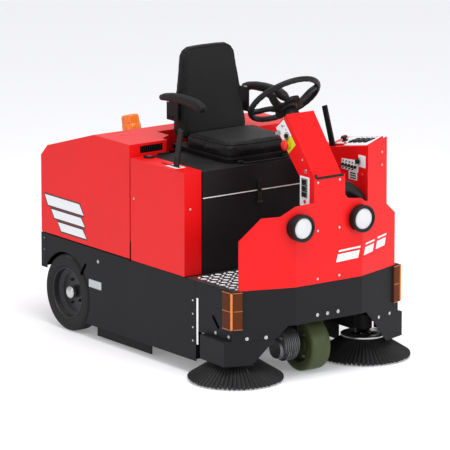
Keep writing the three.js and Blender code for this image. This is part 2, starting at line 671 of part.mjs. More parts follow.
// ---------- steering ----------
function addSteering() {
  const tube = 15;
  const section = [];
  for (let i = 0; i < 8; i += 1) {
    const angle = (i / 8) * 2 * Math.PI;
    section.push([WHEEL_RADIUS + tube * Math.cos(angle), tube * Math.sin(angle)]);
  }
  const rim = ring(section, 36);
  const dish = 45;
  const hub = turned([
    [0, -dish - 22], [40, -dish - 22], [46, -dish - 8],
    [44, -dish + 12], [30, -dish + 18], [0, -dish + 20],
  ], 24);
  const spokeAngles = [-22, 22, 158, 202].map(THREE.MathUtils.degToRad);
  const spokes = spokeAngles.map((angle) => {
    const arm = outline([
      [25, -dish - 7], [WHEEL_RADIUS - 4, -9], [WHEEL_RADIUS - 4, 3],
      [120, -dish * 0.3], [25, -dish + 8],
    ]);
    return alongY(arm, -11, 11).rotateZ(angle);
  });
  const tilt = [-WHEEL_TILT, 0, 0];
  const centre = [0, WHEEL_CENTRE.y, WHEEL_CENTRE.z];
  add('steering_wheel', join(rim, hub, ...spokes), plastic(), centre, tilt);
  const shaft = turned([
    [0, -dish - 22.5], [34, -dish - 22.5], [40, -86], [46, -118],
    [46, -128], [14, -128], [14, -300], [0, -300],
  ], 20);
  add('steering_shaft', shaft, plastic(), centre, tilt);
}

const PEDAL = { x: -200, y: -700, z: 545 };

function addPedal() {
  const reach = 186;
  const plate = block([-38, -reach, -5], [38, 0, 5]);
  const tread = join(plate, rod(9, [-38, 0, 0], [38, 0, 0], 16));
  const lean = THREE.MathUtils.degToRad(-31);
  add('accelerator_pedal', tread, rubber(), [PEDAL.x, PEDAL.y, PEDAL.z], [lean, 0, 0]);
}

// ---------- brooms ----------
function addSideBrooms() {
  const broom = turned([
    [0, 143], [26, 143], [30, 134], [SIDE_BROOM.disc, SIDE_BROOM.discZ],
    [142, 114], [165, 78], [SIDE_BROOM.radius, 12],
    [252, 2], [226, 2], [120, 96], [0, 100],
  ], 32);
  broom.translate(-SIDE_BROOM.x, SIDE_BROOM.y, 0);
  addPair('side_broom', broom, () => paint(0x2b2a2d, 0.9, 0));

  const armHalf = 22;
  const motor = turned([[0, 143.5], [30, 143.5], [48, 160], [48, 236], [40, 246], [0, 246]], 24);
  motor.translate(-SIDE_BROOM.x, SIDE_BROOM.y, 0);
  const arm = block(
    [-SIDE_BROOM.x - armHalf, SIDE_BROOM.y - 30, 238],
    [-SIDE_BROOM.x + armHalf, -400, 252],
  );
  const upright = block([-SIDE_BROOM.x - armHalf, -414, 238], [-SIDE_BROOM.x + armHalf, -400, 345]);
  const pivot = rod(14, [-SIDE_BROOM.x - 40, -407, 345], [-SIDE_BROOM.x + 40, -407, 345], 16);
  addPair('side_broom_motor', join(motor, arm, upright, pivot), blackPaint);
}

function addMainBroom() {
  const half = MAIN_BROOM.half;
  const roll = turned([
    [0, -half - 22], [12, -half - 22], [12, -half - 4],
    [60, -half - 4], [60, -half], [MAIN_BROOM.radius, -half],
    [MAIN_BROOM.radius, half], [60, half], [60, half + 4], [12, half + 4], [12, half + 22], [0, half + 22],
  ], 28);
  roll.rotateY(Math.PI / 2).translate(0, MAIN_BROOM.y, MAIN_BROOM.z);
  add('main_broom', roll, paint(0x2f2e31, 0.9, 0));

  const pivotY = -100;
  const pivotZ = 340;
  const armSide = outline([
    [pivotY - 20, pivotZ - 20],
    [MAIN_BROOM.y - 10, MAIN_BROOM.z - 28],
    [MAIN_BROOM.y + 28, MAIN_BROOM.z - 10],
    [MAIN_BROOM.y + 20, MAIN_BROOM.z + 25], [pivotY + 15, pivotZ + 22], [pivotY - 20, pivotZ + 15],
  ]);
  const arm = (side) => alongX(armSide, side < 0 ? -448 : 438, side < 0 ? -438 : 448);
  const tie = rod(18, [-440, pivotY, pivotZ], [440, pivotY, pivotZ], 20);
  const bore = rod(12.4, [-460, MAIN_BROOM.y, MAIN_BROOM.z], [460, MAIN_BROOM.y, MAIN_BROOM.z], 36);
  add('main_broom_cradle', cut(join(tie, arm(-1), arm(1)), bore), blackPaint());
}

// ---------- debris path ----------
function addHopper() {
  const low = [-335, 500, 92];
  const high = [335, 955, 316];
  const inside = [
    [low[0] + SHEET, low[1] + SHEET, low[2] + SHEET],
    [high[0] - SHEET, high[1] - SHEET, high[2] + 20],
  ];
  const handle = join(
    block([-90, high[1] - 2, 227], [-74, high[1] + 17, 243]),
    block([74, high[1] - 2, 227], [90, high[1] + 17, 243]),
    rod(8, [-90, high[1] + 17, 235], [90, high[1] + 17, 235], 14),
  );
  const mouth = block([-300, low[1] - 10, 190], [300, low[1] + 10, 400]);
  const tray = join(cut(block(low, high), block(...inside)), handle);
  add('hopper', cut(tray, mouth), paint(0x55565a, 0.5, 0.5));

  const frame = block([-300, 480, 504.4], [300, 900, 640]);
  const well = block([-280, 500, 560], [280, 880, 660]);
  add('dust_filter', cut(frame, well), paint(0xd9d4c4, 0.8, 0));

  const volute = turned([
    [0, 0], [125, 0], [130, 20], [130, 90], [120, 105], [60, 110], [52, 190], [0, 192],
  ], 24);
  const outlet = block([40, -130, 15], [240, -50, 92]);
  add('vacuum_fan', join(volute, outlet), paint(0x3d3e42, 0.5, 0.3), [0, 690, 641]);
}

addChassis();
addAxle();
addRearWheels();
addDriveUnit();
addSkirts();
addBumpers();
addBroomGuards();
addStepPlate();
addFrontPanel();
addLamps();
addColumn();
addColumnControls();
addConsole();
addSidePanels();
addLevers();
addHood();
addBeacon();
addBatteries();
addLid();
addSeat();
addArmrests();
addSteering();
addPedal();
addSideBrooms();
addMainBroom();
addHopper();

export default sweeper;
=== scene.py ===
# %% [markdown]
# # A ride-on sweeper, finished in Blender
# The machine arrives as plain solids, each already in its place. This lesson gives every solid a finish, swaps the
# soft and bristly ones for better shapes, and adds the small pieces that a solid model leaves out.
# Lengths are metres, the front faces -Y, the driver's right hand is at -X, and the floor is z = 0.

import math

import bmesh
import bpy
import numpy as np
from mathutils import Matrix, Vector
from mathutils.bvhtree import BVHTree


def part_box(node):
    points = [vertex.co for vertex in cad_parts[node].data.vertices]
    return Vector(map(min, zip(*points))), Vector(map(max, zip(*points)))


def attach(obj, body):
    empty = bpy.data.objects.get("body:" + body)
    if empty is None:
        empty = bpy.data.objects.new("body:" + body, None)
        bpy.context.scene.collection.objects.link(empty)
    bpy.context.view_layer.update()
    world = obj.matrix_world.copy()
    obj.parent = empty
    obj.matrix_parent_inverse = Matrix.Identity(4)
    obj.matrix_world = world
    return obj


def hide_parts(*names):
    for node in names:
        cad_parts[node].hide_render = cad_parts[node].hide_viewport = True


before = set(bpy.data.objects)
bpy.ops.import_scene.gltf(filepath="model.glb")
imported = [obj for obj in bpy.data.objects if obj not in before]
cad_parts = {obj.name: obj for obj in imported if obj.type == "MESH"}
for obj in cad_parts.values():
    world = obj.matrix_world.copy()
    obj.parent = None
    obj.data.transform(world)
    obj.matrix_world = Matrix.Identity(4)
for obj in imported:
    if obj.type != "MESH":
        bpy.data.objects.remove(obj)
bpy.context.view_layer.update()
TURN = 2 * math.pi
X_AXIS, Y_AXIS, Z_AXIS = Vector((1, 0, 0)), Vector((0, 1, 0)), Vector((0, 0, 1))
SIDES = {"right": -1, "left": 1}
SKIRT_FACE, LID_FACE = 0.56, -0.3992

# %% [markdown]
# ## Camera, floor and light
# A product picture is taken from far away with a long lens, so that upright edges stay upright. A broad lamp
# overhead and a pale surrounding give soft shadows and bright tops, as in a white studio.

# %% Camera, floor and lamps
CAMERA_PLACE = Vector((-14.027, -19.126, 6.017))
CAMERA_TARGET = Vector((-0.255, -0.343, 0.759))
LENS_MM = 354.4


def aim(obj, place, target):
    obj.location = place
    obj.rotation_euler = (target - place).to_track_quat("-Z", "Y").to_euler()


def add_camera():
    data = bpy.data.cameras.new("studio_camera")
    data.lens, data.sensor_width, data.clip_end = LENS_MM, 36, 200
    camera = bpy.data.objects.new("studio_camera", data)
    bpy.context.scene.collection.objects.link(camera)
    aim(camera, CAMERA_PLACE, CAMERA_TARGET)
    bpy.context.scene.camera = camera


def add_lamp(name, place, size, watts, colour=(1, 1, 1)):
    data = bpy.data.lights.new(name, "AREA")
    data.shape, data.size, data.energy, data.color = "DISK", size, watts, colour
    lamp = bpy.data.objects.new(name, data)
    bpy.context.scene.collection.objects.link(lamp)
    aim(lamp, Vector(place), Vector((0, 0, 0.7)))


add_camera()
add_lamp("overhead_lamp", (-1.0, -2.0, 6.5), 4.0, 260)
add_lamp("front_lamp", (3.0, -8.0, 3.0), 3.5, 190)
add_lamp("side_lamp", (-8.0, -1.0, 3.0), 3.5, 60)

world = bpy.data.worlds.new("pale_surrounding")
world.use_nodes = True
world.node_tree.nodes["Background"].inputs["Color"].default_value = (0.98, 0.985, 1.0, 1)
world.node_tree.nodes["Background"].inputs["Strength"].default_value = 0.72
bpy.context.scene.world = world
bpy.context.scene.view_settings.view_transform = "Standard"

floor_finish = bpy.data.materials.new("studio_floor")
floor_finish.use_nodes = True
floor_finish.node_tree.nodes["Principled BSDF"].inputs["Base Color"].default_value = (0.88, 0.88, 0.905, 1)
floor_finish.node_tree.nodes["Principled BSDF"].inputs["Roughness"].default_value = 0.7
floor_finish.node_tree.nodes["Principled BSDF"].inputs["Emission Color"].default_value = (1, 1, 1, 1)
floor_finish.node_tree.nodes["Principled BSDF"].inputs["Emission Strength"].default_value = 0.21
floor_mesh = bpy.data.meshes.new("studio_floor")
REACH = 80.0
floor_mesh.from_pydata([(-REACH, -REACH, 0), (REACH, -REACH, 0), (REACH, REACH, 0), (-REACH, REACH, 0)], [],
                       [(0, 1, 2, 3)])
floor_mesh.materials.append(floor_finish)
floor = bpy.data.objects.new("studio_floor", floor_mesh)
bpy.context.scene.collection.objects.link(floor)

# %% [markdown]
# ## Shared shader effects
# Paint, rubber and plastic share the same kinds of irregularity: a fine grain you can feel, edges rubbed bright,
# dust settled on what faces up, and slow drifts of tone. Each effect is a node group with named sockets, built once
# and given its own numbers in every finish. The groups put out masks, heights and normals only.

# %% Helpers for node trees
def put(tree, kind, inputs=None, **settings):
    """Add a node, fill its sockets with numbers or links, and return it."""
    node = tree.nodes.new(kind)
    for key, value in settings.items():
        setattr(node, key, value)
    for key, value in (inputs or {}).items():
        if isinstance(value, bpy.types.NodeSocket):
            tree.links.new(value, node.inputs[key])
        else:
            node.inputs[key].default_value = value
    return node


def shader_group(name, numbers, outputs):
    """An empty shader group with number inputs and the given outputs."""
    tree = bpy.data.node_groups.new(name, "ShaderNodeTree")
    for label, value in numbers.items():
        socket = tree.interface.new_socket(label, in_out="INPUT", socket_type="NodeSocketFloat")
        socket.default_value = value
    for label, kind in outputs.items():
        tree.interface.new_socket(label, in_out="OUTPUT", socket_type=kind)
    return tree, tree.nodes.new("NodeGroupInput").outputs, tree.nodes.new("NodeGroupOutput").inputs


def math_node(tree, operation, first, second=0.0, clamp=False):
    return put(tree, "ShaderNodeMath", {0: first, 1: second}, operation=operation, use_clamp=clamp).outputs[0]


# %% Edge wear: a mask along rubbed edges, and a normal that rounds them
def build_edge_group():
    tree, given, out = shader_group(
        "Edge wear", {"Width": 0.002, "Patch scale": 30.0, "Amount": 0.5},
        {"Mask": "NodeSocketFloat", "Normal": "NodeSocketVector"})
    bevel = put(tree, "ShaderNodeBevel", {"Radius": given["Width"]}, samples=4)
    flat = put(tree, "ShaderNodeNewGeometry").outputs["Normal"]
    agree = put(tree, "ShaderNodeVectorMath", {0: bevel.outputs[0], 1: flat},
                operation="DOT_PRODUCT").outputs["Value"]
    bend = math_node(tree, "SUBTRACT", 1.0, agree)
    place = put(tree, "ShaderNodeTexCoord").outputs["Object"]
    patches = put(tree, "ShaderNodeTexNoise", {"Vector": place, "Scale": given["Patch scale"], "Detail": 5.0})
    rubbed = put(tree, "ShaderNodeMapRange", {0: patches.outputs[0], 1: 0.48, 2: 0.72})
    strength = math_node(tree, "MULTIPLY", math_node(tree, "MULTIPLY", bend, 6.0, True), rubbed.outputs[0])
    tree.links.new(math_node(tree, "MULTIPLY", strength, given["Amount"], True), out["Mask"])
    tree.links.new(bevel.outputs[0], out["Normal"])
    return tree


# %% Grain: the height of a fine, pebbled or orange-peel surface
def build_grain_group():
    tree, given, out = shader_group(
        "Grain", {"Fine scale": 900.0, "Coarse scale": 120.0, "Coarse share": 0.3}, {"Height": "NodeSocketFloat"})
    place = put(tree, "ShaderNodeTexCoord").outputs["Object"]
    fine = put(tree, "ShaderNodeTexNoise", {"Vector": place, "Scale": given["Fine scale"], "Detail": 2.0})
    coarse = put(tree, "ShaderNodeTexNoise", {"Vector": place, "Scale": given["Coarse scale"], "Detail": 3.0})
    high = math_node(tree, "MULTIPLY", coarse.outputs[0], given["Coarse share"])
    tree.links.new(math_node(tree, "ADD", fine.outputs[0], high), out["Height"])
    return tree


# %% Settled dust: a mask on surfaces that face up, thicker in patches
def build_dust_group():
    tree, given, out = shader_group("Settled dust", {"Patch scale": 9.0, "Amount": 0.3}, {"Mask": "NodeSocketFloat"})
    normal = put(tree, "ShaderNodeNewGeometry").outputs["Normal"]
    upward = put(tree, "ShaderNodeSeparateXYZ", {0: normal}).outputs["Z"]
    place = put(tree, "ShaderNodeTexCoord").outputs["Object"]
    patches = put(tree, "ShaderNodeTexNoise", {"Vector": place, "Scale": given["Patch scale"], "Detail": 6.0})
    lying = put(tree, "ShaderNodeMapRange", {0: upward, 1: 0.3, 2: 0.95})
    thick = put(tree, "ShaderNodeMapRange", {0: patches.outputs[0], 1: 0.35, 2: 0.75})
    mask = math_node(tree, "MULTIPLY", lying.outputs[0], thick.outputs[0])
    tree.links.new(math_node(tree, "MULTIPLY", mask, given["Amount"], True), out["Mask"])
    return tree


# %% Tone drift: slow changes in shade across a panel
def build_drift_group():
    tree, given, out = shader_group("Tone drift", {"Scale": 3.0, "Contrast": 1.0}, {"Mask": "NodeSocketFloat"})
    place = put(tree, "ShaderNodeTexCoord").outputs["Object"]
    clouds = put(tree, "ShaderNodeTexNoise", {"Vector": place, "Scale": given["Scale"], "Detail": 4.0})
    spread = math_node(tree, "MULTIPLY", math_node(tree, "SUBTRACT", clouds.outputs[0], 0.5), given["Contrast"])
    tree.links.new(math_node(tree, "ADD", spread, 0.5, True), out["Mask"])
    return tree


EDGE_WEAR = build_edge_group()
GRAIN = build_grain_group()
SETTLED_DUST = build_dust_group()
TONE_DRIFT = build_drift_group()
print("shader groups:", [g.name for g in bpy.data.node_groups])

# %% [markdown]
# ## Finishes
# One function lays out a finish: two close shades drifting into each other, a worn colour along the edges, dust on
# top, roughness that varies a little, and the grain as a bump over the rounded normal. Everything that differs
# between red powder coat, black textured coat, rubber, vinyl and cast metal is a number in the table below.

# %% A finish from its numbers
def group_node(tree, group, **numbers):
    node = put(tree, "ShaderNodeGroup", node_tree=group)
    for label, value in numbers.items():
        node.inputs[label.replace("_", " ")].default_value = value
    return node.outputs


def mix(tree, factor, first, second):
    node = put(tree, "ShaderNodeMix", data_type="RGBA")
    for socket, value in ((node.inputs["Factor"], factor), (node.inputs[6], first), (node.inputs[7], second)):
        if isinstance(value, bpy.types.NodeSocket):
            tree.links.new(value, socket)
        else:
            socket.default_value = (*value, 1.0)
    return node.outputs[2]


def finish(name, shade, light, worn, rough=(0.4, 0.5), metal=0.0, grain=(900.0, 120.0, 0.3), depth=0.0002,
           wear=(0.002, 30.0, 0.4), dust=0.15, drift=(3.0, 1.4), coat=0.0, sheen=0.0, shine=0.3):
    material = bpy.data.materials.new(name)
    material.use_nodes = True
    tree = material.node_tree
    surface = tree.nodes["Principled BSDF"]
    tone = group_node(tree, TONE_DRIFT, Scale=drift[0], Contrast=drift[1])["Mask"]
    edge = group_node(tree, EDGE_WEAR, Width=wear[0], Patch_scale=wear[1], Amount=wear[2])
    dusty = group_node(tree, SETTLED_DUST, Amount=dust)["Mask"]
    base = mix(tree, tone, shade, light)
    base = mix(tree, edge["Mask"], base, worn)
    base = mix(tree, dusty, base, (0.30, 0.28, 0.26))
    tree.links.new(base, surface.inputs["Base Color"])
    varied = put(tree, "ShaderNodeMapRange", {0: tone, 3: rough[0], 4: rough[1]}).outputs[0]
    rougher = math_node(tree, "MULTIPLY", dusty, 0.5)
    tree.links.new(math_node(tree, "ADD", varied, rougher, True), surface.inputs["Roughness"])
    surface.inputs["Metallic"].default_value = metal
    surface.inputs["Specular IOR Level"].default_value = shine
    surface.inputs["Coat Weight"].default_value = coat
    surface.inputs["Coat Roughness"].default_value = 0.12
    surface.inputs["Sheen Weight"].default_value = sheen
    height = group_node(tree, GRAIN, Fine_scale=grain[0], Coarse_scale=grain[1], Coarse_share=grain[2])["Height"]
    bump = put(tree, "ShaderNodeBump", {"Height": height, "Distance": depth, "Normal": edge["Normal"]})
    tree.links.new(bump.outputs[0], surface.inputs["Normal"])
    return material


# %% The table of finishes
FINISH = {
    "red_paint": finish("red_powder_coat", (0.71, 0.0035, 0.0045), (0.79, 0.005, 0.007), (0.95, 0.16, 0.15),
                        (0.34, 0.42),
                        grain=(420.0, 90.0, 0.5), depth=0.00016, wear=(0.003, 18.0, 0.55), dust=0.0, coat=0.05,
                        shine=0.2),
    "black_paint": finish("black_textured_coat", (0.00792, 0.0072, 0.00864), (0.01152, 0.0108, 0.01224),
                          (0.07, 0.07, 0.075),
                          (0.50, 0.62), grain=(700.0, 200.0, 0.6), depth=0.0004, wear=(0.003, 25.0, 0.5), dust=0.05,
                          shine=0.16),
    "bare_steel": finish("zinc_plated_steel", (0.46, 0.46, 0.47), (0.62, 0.61, 0.60), (0.8, 0.8, 0.8), (0.22, 0.4),
                         1.0,
                         grain=(1500.0, 260.0, 0.5), depth=0.00008, wear=(0.001, 60.0, 0.5), dust=0.1),
    # The tread plate's metal is kept dark: a painted reflection, the dark that the flat plate shows between its
    # lozenges.
    "tread_plate": finish("tread_plate_metal", (0.10, 0.10, 0.105), (0.19, 0.19, 0.2), (0.8, 0.8, 0.8), (0.25, 0.42),
                          0.9,
                          grain=(1100.0, 150.0, 0.6), depth=0.0002, wear=(0.0015, 50.0, 0.5), dust=0.12),
    "tyre_rubber": finish("tyre_rubber", (0.0096, 0.0096, 0.0104), (0.0184, 0.0176, 0.0184), (0.05, 0.05, 0.05),
                          (0.72, 0.88),
                          grain=(1200.0, 180.0, 0.6), depth=0.0005, wear=(0.003, 30.0, 0.4), dust=0.35),
    "drive_tyre_rubber": finish("olive_polyurethane", (0.030, 0.042, 0.008), (0.052, 0.068, 0.018),
                                (0.11, 0.13, 0.06),
                                (0.34, 0.5), grain=(900.0, 110.0, 0.7), depth=0.0003, wear=(0.003, 35.0, 0.5),
                                dust=0.2),
    "wheel_rim": finish("rim_enamel", (0.014, 0.014, 0.016), (0.024, 0.024, 0.027), (0.2, 0.2, 0.2), (0.32, 0.45),
                        grain=(600.0, 120.0, 0.4), depth=0.0002, wear=(0.002, 40.0, 0.7), dust=0.3),
    "seat_vinyl": finish("grained_vinyl", (0.003025, 0.00275, 0.0033), (0.0055, 0.005225, 0.00605),
                         (0.05, 0.048, 0.05), (0.42, 0.54),
                         grain=(1100.0, 420.0, 1.4), depth=0.0006, wear=(0.004, 22.0, 0.25), dust=0.04, sheen=0.04,
                         shine=0.18),
    "black_plastic": finish("moulded_black_plastic", (0.00525, 0.00525, 0.005775), (0.008925, 0.008925, 0.00945),
                            (0.06, 0.06, 0.06),
                            (0.36, 0.5), grain=(1300.0, 300.0, 0.8), depth=0.00025, wear=(0.0015, 40.0, 0.4),
                            dust=0.06,
                            shine=0.2),
    "red_plastic": finish("red_switch_plastic", (0.62, 0.006, 0.008), (0.72, 0.010, 0.012), (0.9, 0.2, 0.2),
                          (0.22, 0.32),
                          grain=(900.0, 200.0, 0.4), depth=0.0001, wear=(0.001, 60.0, 0.4), dust=0.03, coat=0.4),
    "motor_casting": finish("motor_casting", (0.13, 0.13, 0.135), (0.21, 0.21, 0.215), (0.45, 0.45, 0.46),
                            (0.4, 0.55), 0.75,
                            grain=(800.0, 220.0, 0.9), depth=0.0005, wear=(0.002, 40.0, 0.6), dust=0.25),
    "battery_case": finish("battery_case_plastic", (0.03, 0.032, 0.036), (0.045, 0.047, 0.052), (0.12, 0.12, 0.12),
                           (0.45, 0.6), grain=(900.0, 160.0, 0.5), depth=0.0003, dust=0.3),
    "filter_media": finish("pleated_filter_paper", (0.50, 0.44, 0.34), (0.62, 0.57, 0.46), (0.7, 0.66, 0.58),
                           (0.8, 0.95),
                           grain=(2200.0, 300.0, 0.8), depth=0.0005, dust=0.6),
    "hopper_steel": finish("hopper_enamel", (0.035, 0.035, 0.038), (0.055, 0.055, 0.06), (0.35, 0.34, 0.33),
                           (0.4, 0.6),
                           grain=(500.0, 100.0, 0.5), depth=0.0003, wear=(0.003, 15.0, 0.9), dust=0.5),
    "bristle": finish("bristle_polypropylene", (0.0054, 0.0054, 0.0063), (0.01575, 0.0153, 0.0171),
                      (0.09, 0.09, 0.095), (0.4, 0.6),
                      grain=(1500.0, 700.0, 1.0), depth=0.0008, wear=(0.001, 120.0, 0.5), dust=0.06,
                      drift=(160.0, 2.4)),
}


def label_finish(name, colour, soiled):
    return finish(name, colour, tuple(0.94 * c for c in colour), soiled, (0.28, 0.4), grain=(1200.0, 60.0, 0.6),
                  depth=0.00005, wear=(0.0008, 60.0, 0.8), dust=0.12, drift=(12.0, 1.6))


WHITE_LABEL = label_finish("white_label_film", (0.80, 0.81, 0.83), (0.45, 0.44, 0.42))
# Near white: real bright trim on the seams, and a painted highlight on the tread lozenges.
BRIGHT_TRIM_AND_HIGHLIGHT = label_finish("bright_strip", (0.88, 0.89, 0.90), (0.6, 0.6, 0.6))
GREY_LABEL = label_finish("grey_label_film", (0.50, 0.52, 0.54), (0.3, 0.3, 0.3))
YELLOW_LABEL = label_finish("yellow_label_film", (0.66, 0.68, 0.02), (0.3, 0.3, 0.05))
DARK_PRINT = label_finish("dark_print_film", (0.02, 0.02, 0.022), (0.1, 0.1, 0.1))
# A near-black finish for painted shadow: flat plates in it stand for the shade inside slots and gaps.
SHADOW = finish("slot_shadow", (0.0006, 0.0006, 0.0007), (0.001, 0.001, 0.001), (0.004, 0.004, 0.004), (0.90, 0.97),
                wear=(0.001, 20.0, 0.1), dust=0.0, shine=0.0)


# %% [markdown]
# Lamp glass and amber lenses let some light through, and fine scratches and dust only change the roughness and the
# normal. The dark walls of the corner markers and their amber edges are opaque.

# %% See-through finishes
def lens_finish(name, colour, through, rough, depth):
    material = bpy.data.materials.new(name)
    material.use_nodes = True
    tree = material.node_tree
    surface = tree.nodes["Principled BSDF"]
    tone = group_node(tree, TONE_DRIFT, Scale=14.0, Contrast=1.5)["Mask"]
    tree.links.new(mix(tree, tone, colour, tuple(0.86 * c for c in colour)), surface.inputs["Base Color"])
    surface.inputs["Transmission Weight"].default_value = through
    surface.inputs["IOR"].default_value = 1.49
    surface.inputs["Coat Weight"].default_value = 0.3
    varied = put(tree, "ShaderNodeMapRange", {0: tone, 3: rough, 4: rough + 0.12}).outputs[0]
    tree.links.new(varied, surface.inputs["Roughness"])
    edge = group_node(tree, EDGE_WEAR, Width=0.0015, Amount=0.2)
    height = group_node(tree, GRAIN, Fine_scale=700.0, Coarse_scale=60.0, Coarse_share=0.6)["Height"]
    bump = put(tree, "ShaderNodeBump", {"Height": height, "Distance": depth, "Normal": edge["Normal"]})
    tree.links.new(bump.outputs[0], surface.inputs["Normal"])
    return material


FINISH["amber_lens"] = lens_finish("amber_lens", (1.0, 0.24, 0.0), 0.2, 0.18, 0.0001)
FINISH["marker_wall"] = finish("dark_amber_wall", (0.085, 0.020, 0.005), (0.11, 0.027, 0.006), (0.3, 0.09, 0.02),
                               (0.45, 0.55), shine=0.1)
FINISH["amber_edge"] = lens_finish("amber_edge", (0.42, 0.10, 0.006), 0.0, 0.3, 0.0001)
FINISH["clear_lens"] = lens_finish("lamp_glass", (0.90, 0.91, 0.93), 0.30, 0.12, 0.00005)
print("finishes:", len(FINISH))

# %% [markdown]
# ## Dress the solids
# The record says which finish each solid's slot asks for, so a loop is enough.

# %% Give each solid its finish
def slot_name(material):
    name = material.name.split(".")[0]
    return name if name in FINISH else None


bare = []
for label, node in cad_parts.items():
    for place in node.material_slots:
        wanted = slot_name(place.material)
        if wanted is None:
            bare.append((label, place.material.name))
        else:
            place.material = FINISH[wanted]
for side in SIDES:
    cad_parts[f"corner_marker_{side}"].material_slots[0].material = FINISH["marker_wall"]
print("solids without a finish:", bare)

# %% [markdown]
# ## Shapes shared by the small pieces
# Most fittings are a bevelled plate, a turned part or a bent bar. Three helpers make them as lists of points and
# faces, and one more joins the lists, points the faces outwards, keeps crisp corners crisp and hands the piece to
# the body it moves with.

# %% Helpers for plates, turned parts and bars
def plate(corners, thickness, normal):
    """A flat sheet with the given outline, standing proud by its thickness along the normal."""
    lift = Vector(normal).normalized() * thickness
    low = [Vector(c) for c in corners]
    count = len(low)
    sides = [(i, (i + 1) % count, (i + 1) % count + count, i + count) for i in range(count)]
    return low + [c + lift for c in low], [tuple(range(count))[::-1], tuple(range(count, 2 * count)), *sides]


def turned(profile, centre, axis, steps=32):
    """A profile of (radius, height) turned about an axis; it starts and ends on the axis."""
    turn = Vector(axis).to_track_quat("Z", "Y").to_matrix()
    points, faces = [], []
    for radius, height in profile[1:-1]:
        for i in range(steps):
            angle = TURN * i / steps
            points.append(turn @ Vector((radius * math.cos(angle), radius * math.sin(angle),
                                         height)) + Vector(centre))
    ends = [turn @ Vector((0, 0, profile[k][1])) + Vector(centre) for k in (0, -1)]
    rows = len(profile) - 2
    for row in range(rows - 1):
        for i in range(steps):
            j = (i + 1) % steps
            faces.append((row * steps + i, row * steps + j, (row + 1) * steps + j, (row + 1) * steps + i))
    first, last = len(points), len(points) + 1
    for i in range(steps):
        j = (i + 1) % steps
        faces.append((first, j, i))
        faces.append((last, (rows - 1) * steps + i, (rows - 1) * steps + j))
    return points + ends, faces


def ring_of(section, centre, axis, steps=64):
    """A closed section of (radius, height) turned about an axis into a ring."""
    turn = Vector(axis).to_track_quat("Z", "Y").to_matrix()
    count = len(section)
    points = [turn @ Vector((r * math.cos(TURN * i / steps), r * math.sin(TURN * i / steps), h)) + Vector(centre)
              for i in range(steps) for r, h in section]
    faces = [(i * count + k, i * count + (k + 1) % count,
              (i + 1) % steps * count + (k + 1) % count, (i + 1) % steps * count + k)
             for i in range(steps) for k in range(count)]
    return points, faces


def bar(path, section, closed=False, up=Z_AXIS):
    """A section of (across, along-up) swept along a path of points; a function of place may resize it."""
    path = [Vector(p) for p in path]
    points, faces, count = [], [], len(path)
    for i, place in enumerate(path):
        ahead = path[(i + 1) % count] if closed else path[min(i + 1, count - 1)]
        behind = path[i - 1] if closed or i else path[0]
        along = (ahead - behind).normalized()
        across = along.cross(up).normalized()
        rise = across.cross(along).normalized()
        shape = section(i / max(count - 1, 1)) if callable(section) else section
        points += [place + across * a + rise * b for a, b in shape]
        wide = len(shape)
    for i in range(count if closed else count - 1):
        j = (i + 1) % count
        faces += [(i * wide + k, i * wide + (k + 1) % wide, j * wide + (k + 1) % wide, j * wide + k)
                  for k in range(wide)]
    if not closed:
        faces += [tuple(range(wide)), tuple(range(len(points) - wide, len(points)))]
    return points, faces


def round_section(radius, sides=12, squash=1.0):
    return [(radius * math.cos(TURN * k / sides), radius * squash * math.sin(TURN * k / sides)) for k in range(sides)]


# %% Join shapes into a mesh object and hand it to a body
SHARP_ANGLE = math.radians(38)


def mesh_object(name, shapes, material, bevel=0.0, merge=False, sharp=SHARP_ANGLE):
    """One object from several (points, faces) shapes, with an optional small bevel on its crisp corners."""
    form = bmesh.new()
    for points, faces in shapes:
        made = [form.verts.new(p) for p in points]
        for face in faces:
            form.faces.new([made[i] for i in face])
    if merge:
        bmesh.ops.remove_doubles(form, verts=form.verts, dist=1e-5)
    bmesh.ops.recalc_face_normals(form, faces=form.faces)
    if bevel:
        crisp = [e for e in form.edges if len(e.link_faces) == 2 and e.calc_face_angle() > sharp]
        bmesh.ops.bevel(form, geom=crisp, offset=bevel, segments=2, profile=0.6, affect="EDGES", clamp_overlap=True)
    for face in form.faces:
        face.smooth = True
    for edge in form.edges:
        if len(edge.link_faces) == 2 and edge.calc_face_angle() > sharp:
            edge.smooth = False
    mesh = bpy.data.meshes.new(name)
    form.to_mesh(mesh)
    form.free()
    mesh.materials.append(material)
    obj = bpy.data.objects.new(name, mesh)
    bpy.context.scene.collection.objects.link(obj)
    return obj


def fit(obj, body, slot, *stands_for):
    """Hand a finished piece to its body, and hide the solids that it stands for."""
    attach(obj, body)
    if stands_for:
        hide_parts(*stands_for)
    print(f"{obj.name}: {len(obj.data.polygons)} faces on {body}")
    return obj


# %% [markdown]
# ## Geometry Nodes for what repeats
# Bolts, rivets, tread lozenges, bristles, stitches and ribs are one small shape copied to many places. A node tree
# takes a mesh whose vertices are the places, turns each copy to the direction stored there, varies its size a
# little with a fixed seed, and makes the copies real. The same tree serves every kind of fitting: only the shape,
# the places, the size and the finish change.

# %% The repeating tree
def geometry_tree(name, sockets):
    tree = bpy.data.node_groups.new(name, "GeometryNodeTree")
    tree.interface.new_socket("Geometry", in_out="INPUT", socket_type="NodeSocketGeometry")
    for label, kind, value in sockets:
        socket = tree.interface.new_socket(label, in_out="INPUT", socket_type=kind)
        if value is not None:
            socket.default_value = value
    tree.interface.new_socket("Geometry", in_out="OUTPUT", socket_type="NodeSocketGeometry")
    return tree, tree.nodes.new("NodeGroupInput").outputs, tree.nodes.new("NodeGroupOutput").inputs


